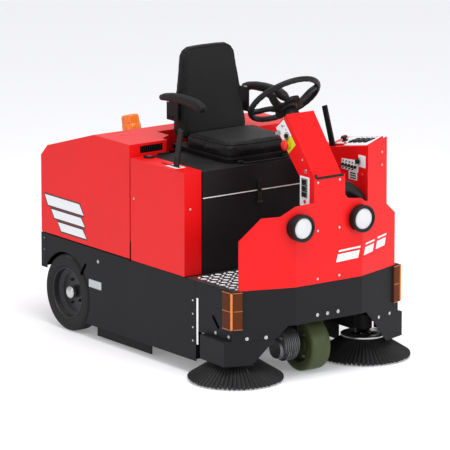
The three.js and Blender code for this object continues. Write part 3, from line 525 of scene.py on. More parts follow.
def build_repeat_tree():
    tree, given, out = geometry_tree("Repeat a shape", [
        ("Shape", "NodeSocketObject", None), ("Size", "NodeSocketFloat", 1.0),
        ("Size variation", "NodeSocketFloat", 0.0),
        ("Turn variation", "NodeSocketFloat", 0.0), ("Seed", "NodeSocketInt", 1),
        ("Finish", "NodeSocketMaterial", None)])
    shape = put(tree, "GeometryNodeObjectInfo", {"Object": given["Shape"]}).outputs["Geometry"]
    facing = put(tree, "GeometryNodeInputNamedAttribute", {"Name": "facing"},
                 data_type="FLOAT_VECTOR").outputs["Attribute"]
    along = put(tree, "GeometryNodeInputNamedAttribute", {"Name": "along"},
                data_type="FLOAT_VECTOR").outputs["Attribute"]
    upright = put(tree, "FunctionNodeAlignRotationToVector", {"Vector": facing}, axis="Z").outputs[0]
    lined = put(tree, "FunctionNodeAlignRotationToVector", {"Rotation": upright, "Vector": along},
                axis="X", pivot_axis="Z").outputs[0]
    spread = put(tree, "FunctionNodeRandomValue", {"Seed": given["Seed"]}, data_type="FLOAT")
    tree.links.new(put(tree, "ShaderNodeMath", {0: given["Size variation"], 1: -1.0},
                       operation="MULTIPLY").outputs[0],
                   spread.inputs[2])
    tree.links.new(given["Size variation"], spread.inputs[3])
    grown = put(tree, "ShaderNodeMath", {0: spread.outputs[1], 1: 1.0}, operation="ADD").outputs[0]
    size = put(tree, "ShaderNodeMath", {0: grown, 1: given["Size"]}, operation="MULTIPLY").outputs[0]
    twist = put(tree, "FunctionNodeRandomValue", {"Seed": given["Seed"]}, data_type="FLOAT")
    tree.links.new(given["Turn variation"], twist.inputs[3])
    turn = put(tree, "ShaderNodeCombineXYZ", {"Z": twist.outputs[1]}).outputs[0]
    copies = put(tree, "GeometryNodeInstanceOnPoints", {"Points": given["Geometry"], "Instance": shape,
                                                        "Rotation": lined, "Scale": size}).outputs[0]
    turned_copies = put(tree, "GeometryNodeRotateInstances", {"Instances": copies, "Rotation": turn}).outputs[0]
    real = put(tree, "GeometryNodeRealizeInstances", {"Geometry": turned_copies}).outputs[0]
    finished = put(tree, "GeometryNodeSetMaterial", {"Geometry": real, "Material": given["Finish"]}).outputs[0]
    tree.links.new(finished, out["Geometry"])
    return tree


REPEAT = build_repeat_tree()


# %% Run a tree on a host mesh and keep the plain result
def run_tree(name, tree, host_mesh, **values):
    """Evaluate a Geometry Nodes tree on a mesh, and return a plain object with the result."""
    host = bpy.data.objects.new(name + "_places", host_mesh)
    bpy.context.scene.collection.objects.link(host)
    modifier = host.modifiers.new("repeat", "NODES")
    modifier.node_group = tree
    for item in tree.interface.items_tree:
        label = item.name.replace(" ", "_")
        if item.in_out == "INPUT" and label in values:
            modifier[item.identifier] = values[label]
    bpy.context.view_layer.update()
    seen = host.evaluated_get(bpy.context.evaluated_depsgraph_get())
    mesh = bpy.data.meshes.new_from_object(seen)
    mesh.name = name
    host.modifiers.remove(modifier)
    bpy.data.objects.remove(host)
    obj = bpy.data.objects.new(name, mesh)
    bpy.context.scene.collection.objects.link(obj)
    return obj


def places_mesh(name, places):
    """A mesh of loose points, each with the way it faces and the way its long side lies."""
    mesh = bpy.data.meshes.new(name)
    mesh.from_pydata([p for p, _, _ in places], [], [])
    for label, index in (("facing", 1), ("along", 2)):
        attribute = mesh.attributes.new(label, "FLOAT_VECTOR", "POINT")
        attribute.data.foreach_set("vector", [c for place in places for c in place[index]])
    return mesh


def repeat(name, shapes, places, material, body, slot, size=1.0, vary=0.0, twist=0.0, seed=1, bevel=0.0):
    """Copy one small shape to every place: (point, facing, along)."""
    shape = mesh_object(name + "_shape", shapes, material, bevel)
    obj = run_tree(name, REPEAT, places_mesh(name, places), Shape=shape, Size=size, Size_variation=vary,
                   Turn_variation=twist, Seed=seed, Finish=material)
    bpy.data.objects.remove(shape)
    if body:
        fit(obj, body, slot)
    return obj


# %% [markdown]
# ## Seat cushion and back
# The seat is foam under grained vinyl. Each pad starts as a closed slab a little smaller than its place. The slab is
# remeshed into an even skin and blown up by a short cloth simulation, which gives the crown and the pulled-in sides
# that a plain bevel doesn't. How far a point may travel is capped, so that the pad keeps its size. Piping and
# stitches come after, laid on the swollen skin.

# %% Swell a pad with the cloth simulation
SIM_FRAMES = 20
PAD_VOXEL = 0.006


def capped(before, after, reach):
    """Keep each point within reach of where it started."""
    moved = after - before
    length = np.linalg.norm(moved, axis=1, keepdims=True)
    return before + moved * np.minimum(1.0, reach / np.maximum(length, 1e-9))


def read_points(mesh):
    flat = np.empty(len(mesh.vertices) * 3)
    mesh.vertices.foreach_get("co", flat)
    return flat.reshape(-1, 3)


def swell(obj, reach, pressure=4.0, voxel=PAD_VOXEL):
    """Remesh, blow up, cap and subdivide a closed pad."""
    bpy.context.view_layer.objects.active = obj
    obj.data.remesh_voxel_size = voxel
    bpy.ops.object.voxel_remesh()
    before = read_points(obj.data)
    cloth = obj.modifiers.new("swell", "CLOTH")
    cloth.settings.use_pressure = True
    cloth.settings.uniform_pressure_force = pressure
    cloth.settings.effector_weights.gravity = 0.0
    cloth.point_cache.frame_start, cloth.point_cache.frame_end = 1, SIM_FRAMES
    for number in range(1, SIM_FRAMES + 1):
        bpy.context.scene.frame_set(number)
    seen = obj.evaluated_get(bpy.context.evaluated_depsgraph_get())
    after = read_points(seen.data)
    obj.modifiers.remove(cloth)
    bpy.context.scene.frame_set(1)
    settled = capped(before, after, reach)
    obj.data.vertices.foreach_set("co", settled.ravel())
    print(f"{obj.name} swelled by up to {1000 * np.linalg.norm(settled - before, axis=1).max():.0f} mm")
    smoother = obj.modifiers.new("smooth", "SUBSURF")
    smoother.levels = smoother.render_levels = 1
    bpy.context.view_layer.update()
    mesh = bpy.data.meshes.new_from_object(obj.evaluated_get(bpy.context.evaluated_depsgraph_get()))
    obj.modifiers.remove(smoother)
    material = obj.data.materials[0]
    obj.data = mesh
    mesh.name = obj.name
    if not mesh.materials:
        mesh.materials.append(material)
    for face in mesh.polygons:
        face.use_smooth = True
    return obj


# %% Rounded slabs to start from
def rounded_outline(half_wide, half_long, radius, steps=8):
    corners = [(half_wide - radius, half_long - radius, 0), (radius - half_wide, half_long - radius, 1),
               (radius - half_wide, radius - half_long, 2), (half_wide - radius, radius - half_long, 3)]
    return [(x + radius * math.cos((quarter + k / steps) * TURN / 4),
             y + radius * math.sin((quarter + k / steps) * TURN / 4))
            for x, y, quarter in corners for k in range(steps + 1)]


def slab(layers, shape_at):
    """Stack closed outlines into a closed slab."""
    rows = [shape_at(layer) for layer in layers]
    count = len(rows[0])
    faces = [(r * count + k, r * count + (k + 1) % count, (r + 1) * count + (k + 1) % count, (r + 1) * count + k)
             for r in range(len(rows) - 1) for k in range(count)]
    faces += [tuple(range(count))[::-1], tuple(range((len(rows) - 1) * count, len(rows) * count))]
    return [p for row in rows for p in row], faces


CUSHION = {"middle_y": -0.1305, "half_wide": 0.228, "half_long": 0.206, "low": 1.116, "high": 1.187}


def cushion_row(layer):
    z, inset = layer
    outline = rounded_outline(CUSHION["half_wide"] - inset, CUSHION["half_long"] - inset, 0.05 - inset * 0.5)
    return [Vector((x, y + CUSHION["middle_y"], z)) for x, y in outline]


cushion = mesh_object("seat_cushion_vinyl", [slab(
    [(CUSHION["low"], 0.012), (CUSHION["low"] + 0.012, 0.0), (CUSHION["high"] - 0.016, 0.002),
     (CUSHION["high"], 0.014)],
    cushion_row)], FINISH["seat_vinyl"])
swell(cushion, 0.009, pressure=1.5)

# %% The back pad follows the tapered outline of the seat back
BACK_HALF = [(0.190, 1.150), (0.210, 1.160), (0.219, 1.190), (0.216, 1.262), (0.203, 1.400), (0.182, 1.550),
             (0.174, 1.600), (0.158, 1.627), (0.127, 1.644), (0.070, 1.648)]
BACK_FRONT = ((1.190, 0.092), (1.650, 0.154))


def back_front_y(z):
    (z0, y0), (z1, y1) = BACK_FRONT
    return y0 + (y1 - y0) * (z - z0) / (z1 - z0)


def back_row(layer):
    share, inset = layer
    outline = BACK_HALF + [(-x, z) for x, z in reversed(BACK_HALF)]
    middle = 1.40
    row = []
    for x, z in outline:
        x, z = x * (1 - inset / 0.2), middle + (z - middle) * (1 - inset / 0.25)
        front = back_front_y(z) + 0.006
        row.append(Vector((x, front + (0.198 - front) * share, z)))
    return row


back_pad = mesh_object("seat_back_vinyl", [slab(
    [(0.0, 0.014), (0.16, 0.002), (0.82, 0.0), (1.0, 0.010)], back_row)], FINISH["seat_vinyl"])
swell(back_pad, 0.005, pressure=1.0)
print("cushion", len(cushion.data.polygons), "back", len(back_pad.data.polygons))

# %% [markdown]
# Piping covers the seam where the top panel meets the sides. A loop of points is pushed onto the swollen skin, so
# the cord lies in contact all the way round, and a row of small stitches runs beside it.

# %% Lay a loop of points on a pad's skin
def skin_of(obj):
    return BVHTree.FromPolygons([v.co for v in obj.data.vertices], [tuple(f.vertices) for f in obj.data.polygons])


def even_loop(points, spacing):
    """Points at an even spacing round a closed loop."""
    loop = [Vector(p) for p in points] + [Vector(points[0])]
    reach = [0.0]
    for a, b in zip(loop, loop[1:]):
        reach.append(reach[-1] + (b - a).length)
    count = max(8, round(reach[-1] / spacing))
    spots, k = [], 0
    for i in range(count):
        want = reach[-1] * i / count
        while reach[k + 1] < want:
            k += 1
        share = (want - reach[k]) / max(reach[k + 1] - reach[k], 1e-9)
        spots.append(loop[k].lerp(loop[k + 1], share))
    return spots


def on_skin(skin, points, lift=0.0):
    laid = []
    for point in points:
        place, normal, _, _ = skin.find_nearest(point)
        laid.append((place + normal * lift, normal))
    return laid


def sewn_edge(name, pad, loop, body, cord=0.0032, inward=None):
    """Piping along a loop, with stitches beside it."""
    skin = skin_of(pad)
    line = [p for p, _ in on_skin(skin, even_loop(loop, 0.008), cord * 0.35)]
    fit(mesh_object(name + "_piping", [bar(line, round_section(cord, 8), closed=True)], FINISH["seat_vinyl"]), body,
        "seat_vinyl")
    spots = on_skin(skin, even_loop(inward, 0.0075), 0.0004)
    places = []
    for i, (place, normal) in enumerate(spots):
        ahead = spots[(i + 1) % len(spots)][0] - place
        places.append((place, normal, ahead.normalized()))
    stitch = bar([(-0.0024, 0, -0.0003), (-0.0012, 0, 0.0005), (0.0012, 0, 0.0005), (0.0024, 0, -0.0003)],
                 round_section(0.0005, 5))
    return repeat(name + "_stitches", [stitch], places, FINISH["seat_vinyl"], body, "seat_vinyl", vary=0.06, seed=4)


fit(cushion, "seat", "seat_vinyl", "seat_cushion")
fit(back_pad, "seat", "seat_vinyl", "seat_back")
sewn_edge("cushion_top", cushion, cushion_row((1.196, 0.004)), "seat", inward=cushion_row((1.21, 0.020)))
sewn_edge("back_front", back_pad, [p + Vector((0, -0.01, 0)) for p in back_row((0.0, 0.002))], "seat",
          inward=[p + Vector((0, -0.02, 0)) for p in back_row((0.0, 0.028))])

# %% [markdown]
# ## Armrests
# A moulded foam arm, rounded on top and hooked down at the front, on a steel pivot beside the seat back. A section
# swept along the arm's line gives the shape, with the section growing and shrinking on the way.

# %% Sweep the arm pads
ARM_LINE = [(0.214, 1.374), (0.204, 1.377), (0.17, 1.385), (0.10, 1.394), (0.02, 1.397), (-0.06, 1.394),
            (-0.12, 1.386),
            (-0.155, 1.376), (-0.178, 1.366), (-0.186, 1.361)]
ARM_TALL = [0.007, 0.016, 0.021, 0.024, 0.026, 0.027, 0.028, 0.026, 0.019, 0.008]
ARM_WIDE = [0.010, 0.020, 0.024, 0.026, 0.027, 0.027, 0.027, 0.026, 0.021, 0.009]


def arm_section(share):
    place = share * (len(ARM_LINE) - 1)
    tall = float(np.interp(place, range(len(ARM_TALL)), ARM_TALL))
    wide = float(np.interp(place, range(len(ARM_WIDE)), ARM_WIDE))
    power = 0.75
    return [(math.copysign(abs(math.cos(TURN * k / 20)) ** power, math.cos(TURN * k / 20)) * wide,
             math.copysign(abs(math.sin(TURN * k / 20)) ** power, math.sin(TURN * k / 20)) * tall) for k in range(20)]


for side, sign in SIDES.items():
    line = [Vector((sign * 0.280, y, z)) for y, z in ARM_LINE]
    pad = mesh_object(f"armrest_pad_{side}", [bar(line, arm_section)], FINISH["seat_vinyl"])
    swell(pad, 0.004, pressure=2.0)
    fit(pad, f"arm_{side}", "seat_vinyl", f"armrest_{side}")
    pin = turned([(0, -0.002), (0.011, -0.002), (0.011, 0.030), (0.018, 0.030), (0.019, 0.034), (0.0, 0.034)],
                 (sign * 0.2435, 0.155, 1.378), (sign, 0, 0), 20)
    fit(mesh_object(f"armrest_pin_{side}", [pin], FINISH["bare_steel"], 0.0006), f"arm_{side}", "bare_steel")

# %% [markdown]
# ## Finding the metal under a fitting
# A bolt has to sit on its panel and not in front of it. A ray shot at the solids, from just outside and against the
# wanted direction, gives the exact point of the panel under each fitting.

# %% Touch the panels
def panels_tree():
    points, faces = [], []
    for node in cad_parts.values():
        start = len(points)
        points += [v.co.copy() for v in node.data.vertices]
        faces += [tuple(start + i for i in face.vertices) for face in node.data.polygons]
    return BVHTree.FromPolygons(points, faces)


PANELS = panels_tree()


def touch(point, normal, reach=0.06):
    """The panel's point under a fitting, looked for from outside."""
    outward = Vector(normal).normalized()
    hit = PANELS.ray_cast(Vector(point) + outward * reach, -outward, 2 * reach)[0]
    return hit if hit else Vector(point)


def fastener(point, normal):
    outward = Vector(normal).normalized()
    level = outward.cross(Z_AXIS if abs(outward.z) < 0.9 else X_AXIS).normalized()
    return touch(point, outward), tuple(outward), tuple(level)


def nose_y(x):
    """The front of the nose, which folds back on both sides of a flat middle."""
    return -0.935 + 0.339 * max(abs(x) - 0.221, 0.0)


def nose_normal(x):
    return (0, -1, 0) if abs(x) < 0.221 else (math.copysign(0.339, x), -1, 0)


# %% [markdown]
# ## Screws, bolts and rivets
# Three heads cover the whole machine: a domed bolt on a washer, a socket screw and a small rivet. Each is turned
# from a short profile and repeated by the tree, once for each body it rides on.

# %% Heads
DOME_BOLT = [turned([(0, -0.001), (0.0100, -0.001), (0.0100, 0.0012), (0.0070, 0.0016), (0.0066, 0.0038),
                     (0.0045, 0.0056), (0.0022, 0.0062), (0.0020, 0.0048), (0, 0.0048)], (0, 0, 0), Z_AXIS, 12)]
SOCKET_SCREW = [turned([(0, -0.001), (0.0062, -0.001), (0.0060, 0.0014), (0.0034, 0.0026), (0.0026, 0.0026),
                        (0.0024, 0.0010), (0, 0.0010)], (0, 0, 0), Z_AXIS, 12)]
RIVET = [turned([(0, -0.001), (0.0052, -0.001), (0.0050, 0.0008), (0.0034, 0.0024), (0.0012, 0.0030), (0, 0.0030)],
                (0, 0, 0), Z_AXIS, 10)]

front_bolts = [fastener((x, nose_y(x), 0.352), nose_normal(x)) for x in (-0.078, -0.011, 0.060)]
guard_bolts = [fastener((sign * SKIRT_FACE, y, 0.272), (sign, 0, 0)) for sign in SIDES.values()
               for y in (-0.675, -0.792)]
guard_bolts += [fastener((sign * x, -0.86, 0.262), (sign * 0.339, -1, 0)) for sign in SIDES.values()
                for x in (0.485, 0.373)]
skirt_bolts = [fastener((sign * SKIRT_FACE, y, z), (sign, 0, 0)) for sign in SIDES.values() for y, z in
               ((0.422, 0.454),)]
rear_bolts = [fastener((x, 0.98, z), (0, 1, 0)) for x in (-0.50, -0.17, 0.17, 0.50) for z in (0.49, 0.42)]
rear_bolts += [fastener((sign * SKIRT_FACE, 0.952, z), (sign, 0, 0)) for sign in SIDES.values()
               for z in (0.492, 0.425)]
repeat("body_bolts", DOME_BOLT, front_bolts + guard_bolts + skirt_bolts, FINISH["bare_steel"],
       "machine", "bare_steel")
repeat("rear_bolts", SOCKET_SCREW, [(Vector(point) - Vector(facing) * 0.0026, facing, *rest)
                                    for point, facing, *rest in rear_bolts], FINISH["bare_steel"], "machine",
                                    "bare_steel", size=1.1)

panel_screws = [fastener((x, -0.935, z), (0, -1, 0)) for x in (-0.078, 0.067) for z in (1.072, 0.811, 0.549)]
panel_screws += [fastener((sign * x, y, z), (sign * nx, ny, 0)) for sign in SIDES.values() for x, y, z, nx, ny in
                 ((0.521, -0.392, 0.888, 0, -1), (0.56, 0.076, 0.870, 1, 0))]
panel_screws += [fastener((-0.09, y, z), (-1, 0, 0)) for y, z in ((-0.812, 1.176), (-0.640, 1.330), (-0.880, 0.600))]
panel_screws += [fastener((0.40, nose_y(0.40), z), nose_normal(0.40)) for z in (1.10, 1.17)]
repeat("panel_screws", SOCKET_SCREW, panel_screws, FINISH["bare_steel"], "machine", "bare_steel", size=1.1)

hood_screws = [fastener((x, 0.98, z), (0, 1, 0)) for x in (-0.47, 0.47) for z in (0.60, 0.93)]
repeat("hood_screws", SOCKET_SCREW, hood_screws, FINISH["bare_steel"], "hood", "bare_steel", size=0.9)

# %% [markdown]
# The skirt's front edge is held by a bright strip with rivets beside the seam, and slanted slots let the panels be
# lifted off; the slots are flat plates of painted shadow. A flat strip of painted shadow fills the gap in front of
# the hood, and a grey plate and a rubber flap finish the side.

# %% Seam strips, rivets, slots and side plates
def side_panel_quad(sign, corners, x=SKIRT_FACE):
    return [Vector((sign * x, y, z)) for y, z in corners]


seam_strips, slots, plates, flaps, rivets = [], [], [], [], []
for sign in SIDES.values():
    out = (sign, 0, 0)
    seam_strips.append(plate(side_panel_quad(sign, [(-0.519, 0.175), (-0.503, 0.175), (-0.503, 0.43),
                                                    (-0.519, 0.43)]), 0.0016, out))
    rivets += [fastener((sign * SKIRT_FACE, -0.468, z), out) for z in (0.41, 0.336, 0.262, 0.188)]
    for (y0, z0), (y1, z1) in (((-0.654, 0.356), (-0.698, 0.308)), ((0.545, 0.412), (0.587, 0.354))):
        along = Vector((0, y1 - y0, z1 - z0)).normalized()
        side = along.cross(Vector(out)) * 0.009
        ends = []
        for centre, flip in ((Vector((sign * SKIRT_FACE, y0, z0)), -1), (Vector((sign * SKIRT_FACE, y1, z1)), 1)):
            for k in range(7):
                angle = math.pi * (k / 6 - 0.5)
                ends.append(centre + side * math.sin(angle) * flip + along * 0.009 * math.cos(angle) * flip)
        # Each slot is a flat plate of painted shadow, standing for the dark inside the opening.
        slots.append(plate(ends, 0.0006, out))
    plates.append(plate(side_panel_quad(sign, [(0.392, 0.296), (0.512, 0.296), (0.512, 0.340), (0.392, 0.340)]),
                        0.0007, out))
    front = -0.02 if sign < 0 else -0.36
    flaps.append(plate([(sign * 0.508, y, z) for y, z in ((front, 0.012), (0.50, 0.012), (0.50, 0.10),
                                                          (front, 0.10))], 0.006, out))
# A flat strip of painted shadow, standing for the shade in the gap in front of the hood.
gap_shadow_plates = [plate(side_panel_quad(sign, [(0.1065, 0.512), (0.1165, 0.512), (0.1165, 0.622), (0.1065, 0.622)]), 0.0006,
               (sign, 0, 0))
         for sign in SIDES.values()]
fit(mesh_object("hood_seals", gap_shadow_plates, SHADOW), "machine", "black_plastic")
fit(mesh_object("seam_strips", seam_strips, BRIGHT_TRIM_AND_HIGHLIGHT, 0.0004), "machine", "bare_steel")
repeat("seam_rivets", RIVET, rivets, FINISH["bare_steel"], "machine", "bare_steel", size=1.2)
fit(mesh_object("lift_slots", slots, SHADOW), "machine", "black_plastic")
fit(mesh_object("skirt_plates", plates, GREY_LABEL, 0.0002), "machine", "bare_steel")
fit(mesh_object("skirt_flaps", flaps, FINISH["tyre_rubber"], 0.001), "machine", "tyre_rubber")

# %% [markdown]
# ## Tread plate
# The footwell floor is bright tread plate. Each raised lozenge is a small pointed hump, and every other one lies
# across its neighbours, so the pattern is a grid of places with two directions. The lozenges are painted near white,
# a painted highlight for the light their humps catch, and the plate between them is a dark metal, a painted
# reflection for the dark it shows.

# %% Raise the lozenges
LOZENGE_PITCH = 0.042


def lozenge():
    """A pointed, low hump: a rim of six points and a ridge of two."""
    half, wide, high = 0.0118, 0.0040, 0.0022
    rim = [(-half, 0, 0), (-half * 0.4, -wide, 0), (half * 0.4, -wide, 0), (half, 0, 0), (half * 0.4, wide, 0),
           (-half * 0.4, wide, 0)]
    ridge = [(-half * 0.45, 0, high), (half * 0.45, 0, high)]
    faces = [(0, 1, 6), (1, 2, 7, 6), (2, 3, 7), (3, 4, 7), (4, 5, 6, 7), (5, 0, 6), (5, 4, 3, 2, 1, 0)]
    return [Vector(p) for p in rim + ridge], faces


plate_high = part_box("step_plate")[1]
lozenge_places = []
for column in range(-18, 19):
    for row in range(-20, 20):
        x, y = column * LOZENGE_PITCH, -0.66 + row * LOZENGE_PITCH
        inside = abs(x) < 0.540 and nose_y(x) + 0.03 < y < -0.412
        clear = not (abs(x) < 0.105 and -0.94 < y < -0.78)
        if inside and clear:
            slope = 1 if (column + row) % 2 else -1
            lozenge_places.append(((x, y, plate_high.z - 0.0001), (0, 0, 1), (0.707, 0.707 * slope, 0)))
# The lozenges take the near-white film: a painted highlight for the light that their humps catch.
repeat("tread_lozenges", [lozenge()], lozenge_places, BRIGHT_TRIM_AND_HIGHLIGHT, "machine", "tread_plate", size=1.8)
print("lozenges:", len(lozenge_places))

# %% [markdown]
# ## Side brooms
# Each side broom is a dished disc with a ring of tufts that splay out to the floor. A tuft is a fluted, widening
# cone with an uneven tip; three rings of them, each a little shorter and steeper, make the skirt look full.

# %% Tufts
def tuft(length, root, tip, flutes=7, seed=3):
    rng = np.random.default_rng(seed)
    points, faces = [], []
    steps = 2 * flutes
    for share in (0.0, 0.55, 1.0):
        radius = root + (tip - root) * share
        for k in range(steps):
            reach = radius * (1.0 if k % 2 else 0.72)
            end = length * share - (rng.random() * 0.006 if share == 1.0 else 0.0)
            points.append(Vector((reach * math.cos(TURN * k / steps), 0.8 * reach * math.sin(TURN * k / steps), end)))
    for row in range(2):
        faces += [(row * steps + k, row * steps + (k + 1) % steps, (row + 1) * steps + (k + 1) % steps,
                   (row + 1) * steps + k)
                  for k in range(steps)]
    faces += [tuple(range(steps))[::-1], tuple(range(2 * steps, 3 * steps))]
    return points, faces


BROOM_X, BROOM_Y = 0.432, -0.680
BROOM_ROWS = ((0.120, 0.105, 0.2572, 0.0115, 62, 0.0054, 0.0120), (0.108, 0.112, 0.236, 0.009, 50, 0.0055, 0.0105),
              (0.094, 0.117, 0.205, 0.008, 42, 0.0055, 0.0105))
for side, sign in SIDES.items():
    for number, (r0, z0, r1, z1, count, root, tip) in enumerate(BROOM_ROWS):
        lean = Vector((r1 - r0, 0, z1 - z0))
        places = []
        for k in range(count):
            angle = TURN * (k + 0.5 * (number % 2)) / count
            outward = Vector((math.cos(angle), math.sin(angle), 0))
            places.append((Vector((sign * BROOM_X, BROOM_Y, z0)) + outward * r0,
                           tuple((outward * lean.x + Z_AXIS * lean.z).normalized()),
                           tuple(outward.cross(Z_AXIS))))
        repeat(f"side_broom_row{number + 1}_{side}", [tuft(lean.length, root, tip, seed=number + 3)],
                            places,
                            FINISH["bristle"], f"broom_{side}", "bristle", vary=0.012, seed=11 + number)
    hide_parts(f"side_broom_{side}")
    centre = (sign * BROOM_X, BROOM_Y, 0)
    disc = turned([(0, 0.112), (0.060, 0.112), (0.118, 0.116), (0.124, 0.120), (0.124, 0.128), (0.116, 0.131),
                   (0.100, 0.131), (0.088, 0.126), (0.060, 0.126), (0.052, 0.132), (0.034, 0.136), (0.026, 0.142),
                   (0, 0.142)], centre, Z_AXIS, 72)
    fit(mesh_object(f"side_broom_disc_{side}", [disc], FINISH["bare_steel"], 0.0008), f"broom_{side}", "bare_steel")
    bolts = [((sign * BROOM_X + 0.043 * math.cos(TURN * k / 5), BROOM_Y + 0.043 * math.sin(TURN * k / 5), 0.1335),
              (0, 0, 1), (1, 0, 0))
             for k in range(5)]
    repeat(f"side_broom_bolts_{side}", DOME_BOLT, bolts, FINISH["bare_steel"], f"broom_{side}", "bare_steel",
           size=0.8)

# %% [markdown]
# ## Main broom
# The main broom is a tube with bristles set in V-shaped rows, which throw the dirt to the middle and back.

# %% Main broom
ROLL_Y, ROLL_Z, ROLL_CORE, ROLL_OUT, ROLL_HALF = 0.300, 0.172, 0.075, 0.163, 0.418
roll_places = []
for row in range(14):
    for k in range(46):
        x = -ROLL_HALF + (k + 0.5) * 2 * ROLL_HALF / 46
        angle = TURN * row / 14 + 0.9 * abs(x) / ROLL_HALF
        outward = Vector((0, math.cos(angle), math.sin(angle)))
        roll_places.append((Vector((x, ROLL_Y, ROLL_Z)) + outward * ROLL_CORE, tuple(outward), (1, 0, 0)))
main_tufts = repeat("main_broom_tufts", [tuft(ROLL_OUT - ROLL_CORE, 0.004, 0.0085, 4, 8)], roll_places,
                    FINISH["bristle"],
                    "roller", "bristle", vary=0.01, seed=21)
core = turned([(0, -0.448), (0.012, -0.448), (0.012, -0.430), (0.062, -0.428), (0.078, -0.424), (0.078, 0.424),
               (0.062, 0.428), (0.012, 0.430), (0.012, 0.448), (0, 0.448)], (0, ROLL_Y, ROLL_Z), X_AXIS, 48)
fit(mesh_object("main_broom_core", [core], FINISH["black_plastic"], 0.001), "roller", "black_plastic")
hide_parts("main_broom")

# %% [markdown]
# ## Wheels
# The rear tyres are solid rubber with grooves round the tread, on dished rims with a bright hub cap and five nuts.
# The front wheel drives and steers: an olive polyurethane tyre beside its motor.

# %% Rear tyres, caps and studs
TYRE = [(0.1462, 0.010), (0.150, 0.004), (0.160, 0.001), (0.176, 0.0015), (0.190, 0.000), (0.199, 0.001),
        (0.208, 0.006),
        (0.2135, 0.013), (0.2155, 0.020)]
for middle in (0.032, 0.050, 0.068):
    TYRE += [(0.2160, middle - 0.0035), (0.2105, middle - 0.0028), (0.2105, middle + 0.0028),
             (0.2160, middle + 0.0035)]
TYRE += [(r, 0.100 - h) for r, h in reversed(TYRE[:9])]
WHEEL_Y, WHEEL_Z, WHEEL_INNER_X = 0.736, 0.216, 0.457
for side, sign in SIDES.items():
    hub = (sign * WHEEL_INNER_X, WHEEL_Y, WHEEL_Z)
    tyre = ring_of(TYRE, hub, (sign, 0, 0), 96)
    fit(mesh_object(f"rear_tyre_grooved_{side}", [tyre], FINISH["tyre_rubber"], sharp=math.radians(50)),
        f"rear_wheel_{side}", "tyre_rubber", f"rear_tyre_{side}")
    cap = turned([(0, 0.060), (0.037, 0.060), (0.037, 0.074), (0.034, 0.082), (0.025, 0.088), (0.012, 0.0905),
                  (0, 0.091)],
                 hub, (sign, 0, 0), 40)
    lip = ring_of([(0.1375, 0.088), (0.1405, 0.0955), (0.1445, 0.0955), (0.1455, 0.090)], hub, (sign, 0, 0), 80)
    fit(mesh_object(f"hub_cap_{side}", [cap], FINISH["bare_steel"], 0.0008), f"rear_wheel_{side}", "bare_steel")
    fit(mesh_object(f"rim_lip_{side}", [lip], FINISH["wheel_rim"]), f"rear_wheel_{side}", "wheel_rim")
    studs = [(Vector(hub) + Vector((sign * 0.0455, 0.068 * math.cos(TURN * k / 5), 0.068 * math.sin(TURN * k / 5))),
              (sign, 0, 0), (0, 1, 0)) for k in range(5)]
    nut = turned([(0, 0), (0.0125, 0), (0.0125, 0.009), (0.0085, 0.011), (0.0065, 0.011), (0.0062, 0.019),
                  (0, 0.020)],
                 (0, 0, 0), Z_AXIS, 6)
    repeat(f"wheel_nuts_{side}", [nut], studs, FINISH["black_paint"], f"rear_wheel_{side}", "black_paint", size=0.75,
           twist=1.0, bevel=0.0005)

# %% Drive tyre and motor details
DRIVE_HUB = (0, -0.732, 0.143)
tread = [(0.0154, -0.045), (0.044, -0.045), (0.050, -0.032), (0.088, -0.032), (0.094, -0.060), (0.112, -0.0645),
         (0.130, -0.0645),
         (0.1385, -0.0605), (0.1425, -0.052), (0.1430, -0.030), (0.1430, 0.030)]
tread += [(r, -h) for r, h in reversed(tread[:9])]
fit(mesh_object("drive_tyre_moulded", [ring_of(tread, DRIVE_HUB, X_AXIS, 96)], FINISH["drive_tyre_rubber"],
                sharp=math.radians(50)), "drive_wheel", "drive_tyre_rubber", "drive_tyre")
drive_nuts = [(Vector(DRIVE_HUB) + Vector((s * 0.0325, 0.068 * math.cos(TURN * k / 6),
                                           0.068 * math.sin(TURN * k / 6))), (s, 0, 0), (0, 1, 0))
              for k in range(6) for s in (-1, 1)]
repeat("drive_wheel_nuts", [nut], drive_nuts, FINISH["bare_steel"], "drive_wheel", "bare_steel", size=0.8,
       bevel=0.0004)
MOTOR_CENTRE = (0, -0.732, 0.168)
motor_fins = [turned([(0, 0.095), (0.074, 0.095), (0.076, 0.100), (0.076, 0.186), (0.070, 0.192), (0.052, 0.196),
                      (0, 0.197)],
                     MOTOR_CENTRE, (-1, 0, 0), 56)]
for k in range(7):
    reach = 0.106 + 0.0125 * k
    motor_fins.append(ring_of([(0.050, reach - 0.003), (0.0850, reach - 0.0020), (0.0850, reach + 0.0020),
                               (0.050, reach + 0.003)],
                              MOTOR_CENTRE, (-1, 0, 0), 56))
fit(mesh_object("motor_fins", motor_fins, FINISH["motor_casting"], 0.0004), "drive_unit", "motor_casting")
cap_bolts = [(Vector(MOTOR_CENTRE) + Vector((-0.1955, 0.055 * math.cos(TURN * (k + 0.5) / 4),
                                             0.055 * math.sin(TURN * (k + 0.5) / 4))), (-1, 0, 0), (0, 1, 0))
             for k in range(4)]
repeat("motor_cap_bolts", DOME_BOLT, cap_bolts, FINISH["bare_steel"], "drive_unit", "bare_steel", size=0.7)

# %% [markdown]
# ## Steering wheel
# A thick moulded rim on two forked arms that drop to a wide plate over the boss. The rim is a round section bent
# into a ring, with finger humps under it, and each prong is a flat bar swept along the dish.

# %% Steering wheel
WHEEL_CENTRE = Vector((0, -0.532, 1.450))
WHEEL_TILT = math.radians(42)
WHEEL_FRAME = Matrix.Rotation(WHEEL_TILT * -1, 3, "X")
RIM_RADIUS = 0.196


def on_wheel(angle, radius, height):
    return WHEEL_CENTRE + WHEEL_FRAME @ Vector((radius * math.cos(angle), radius * math.sin(angle), height))


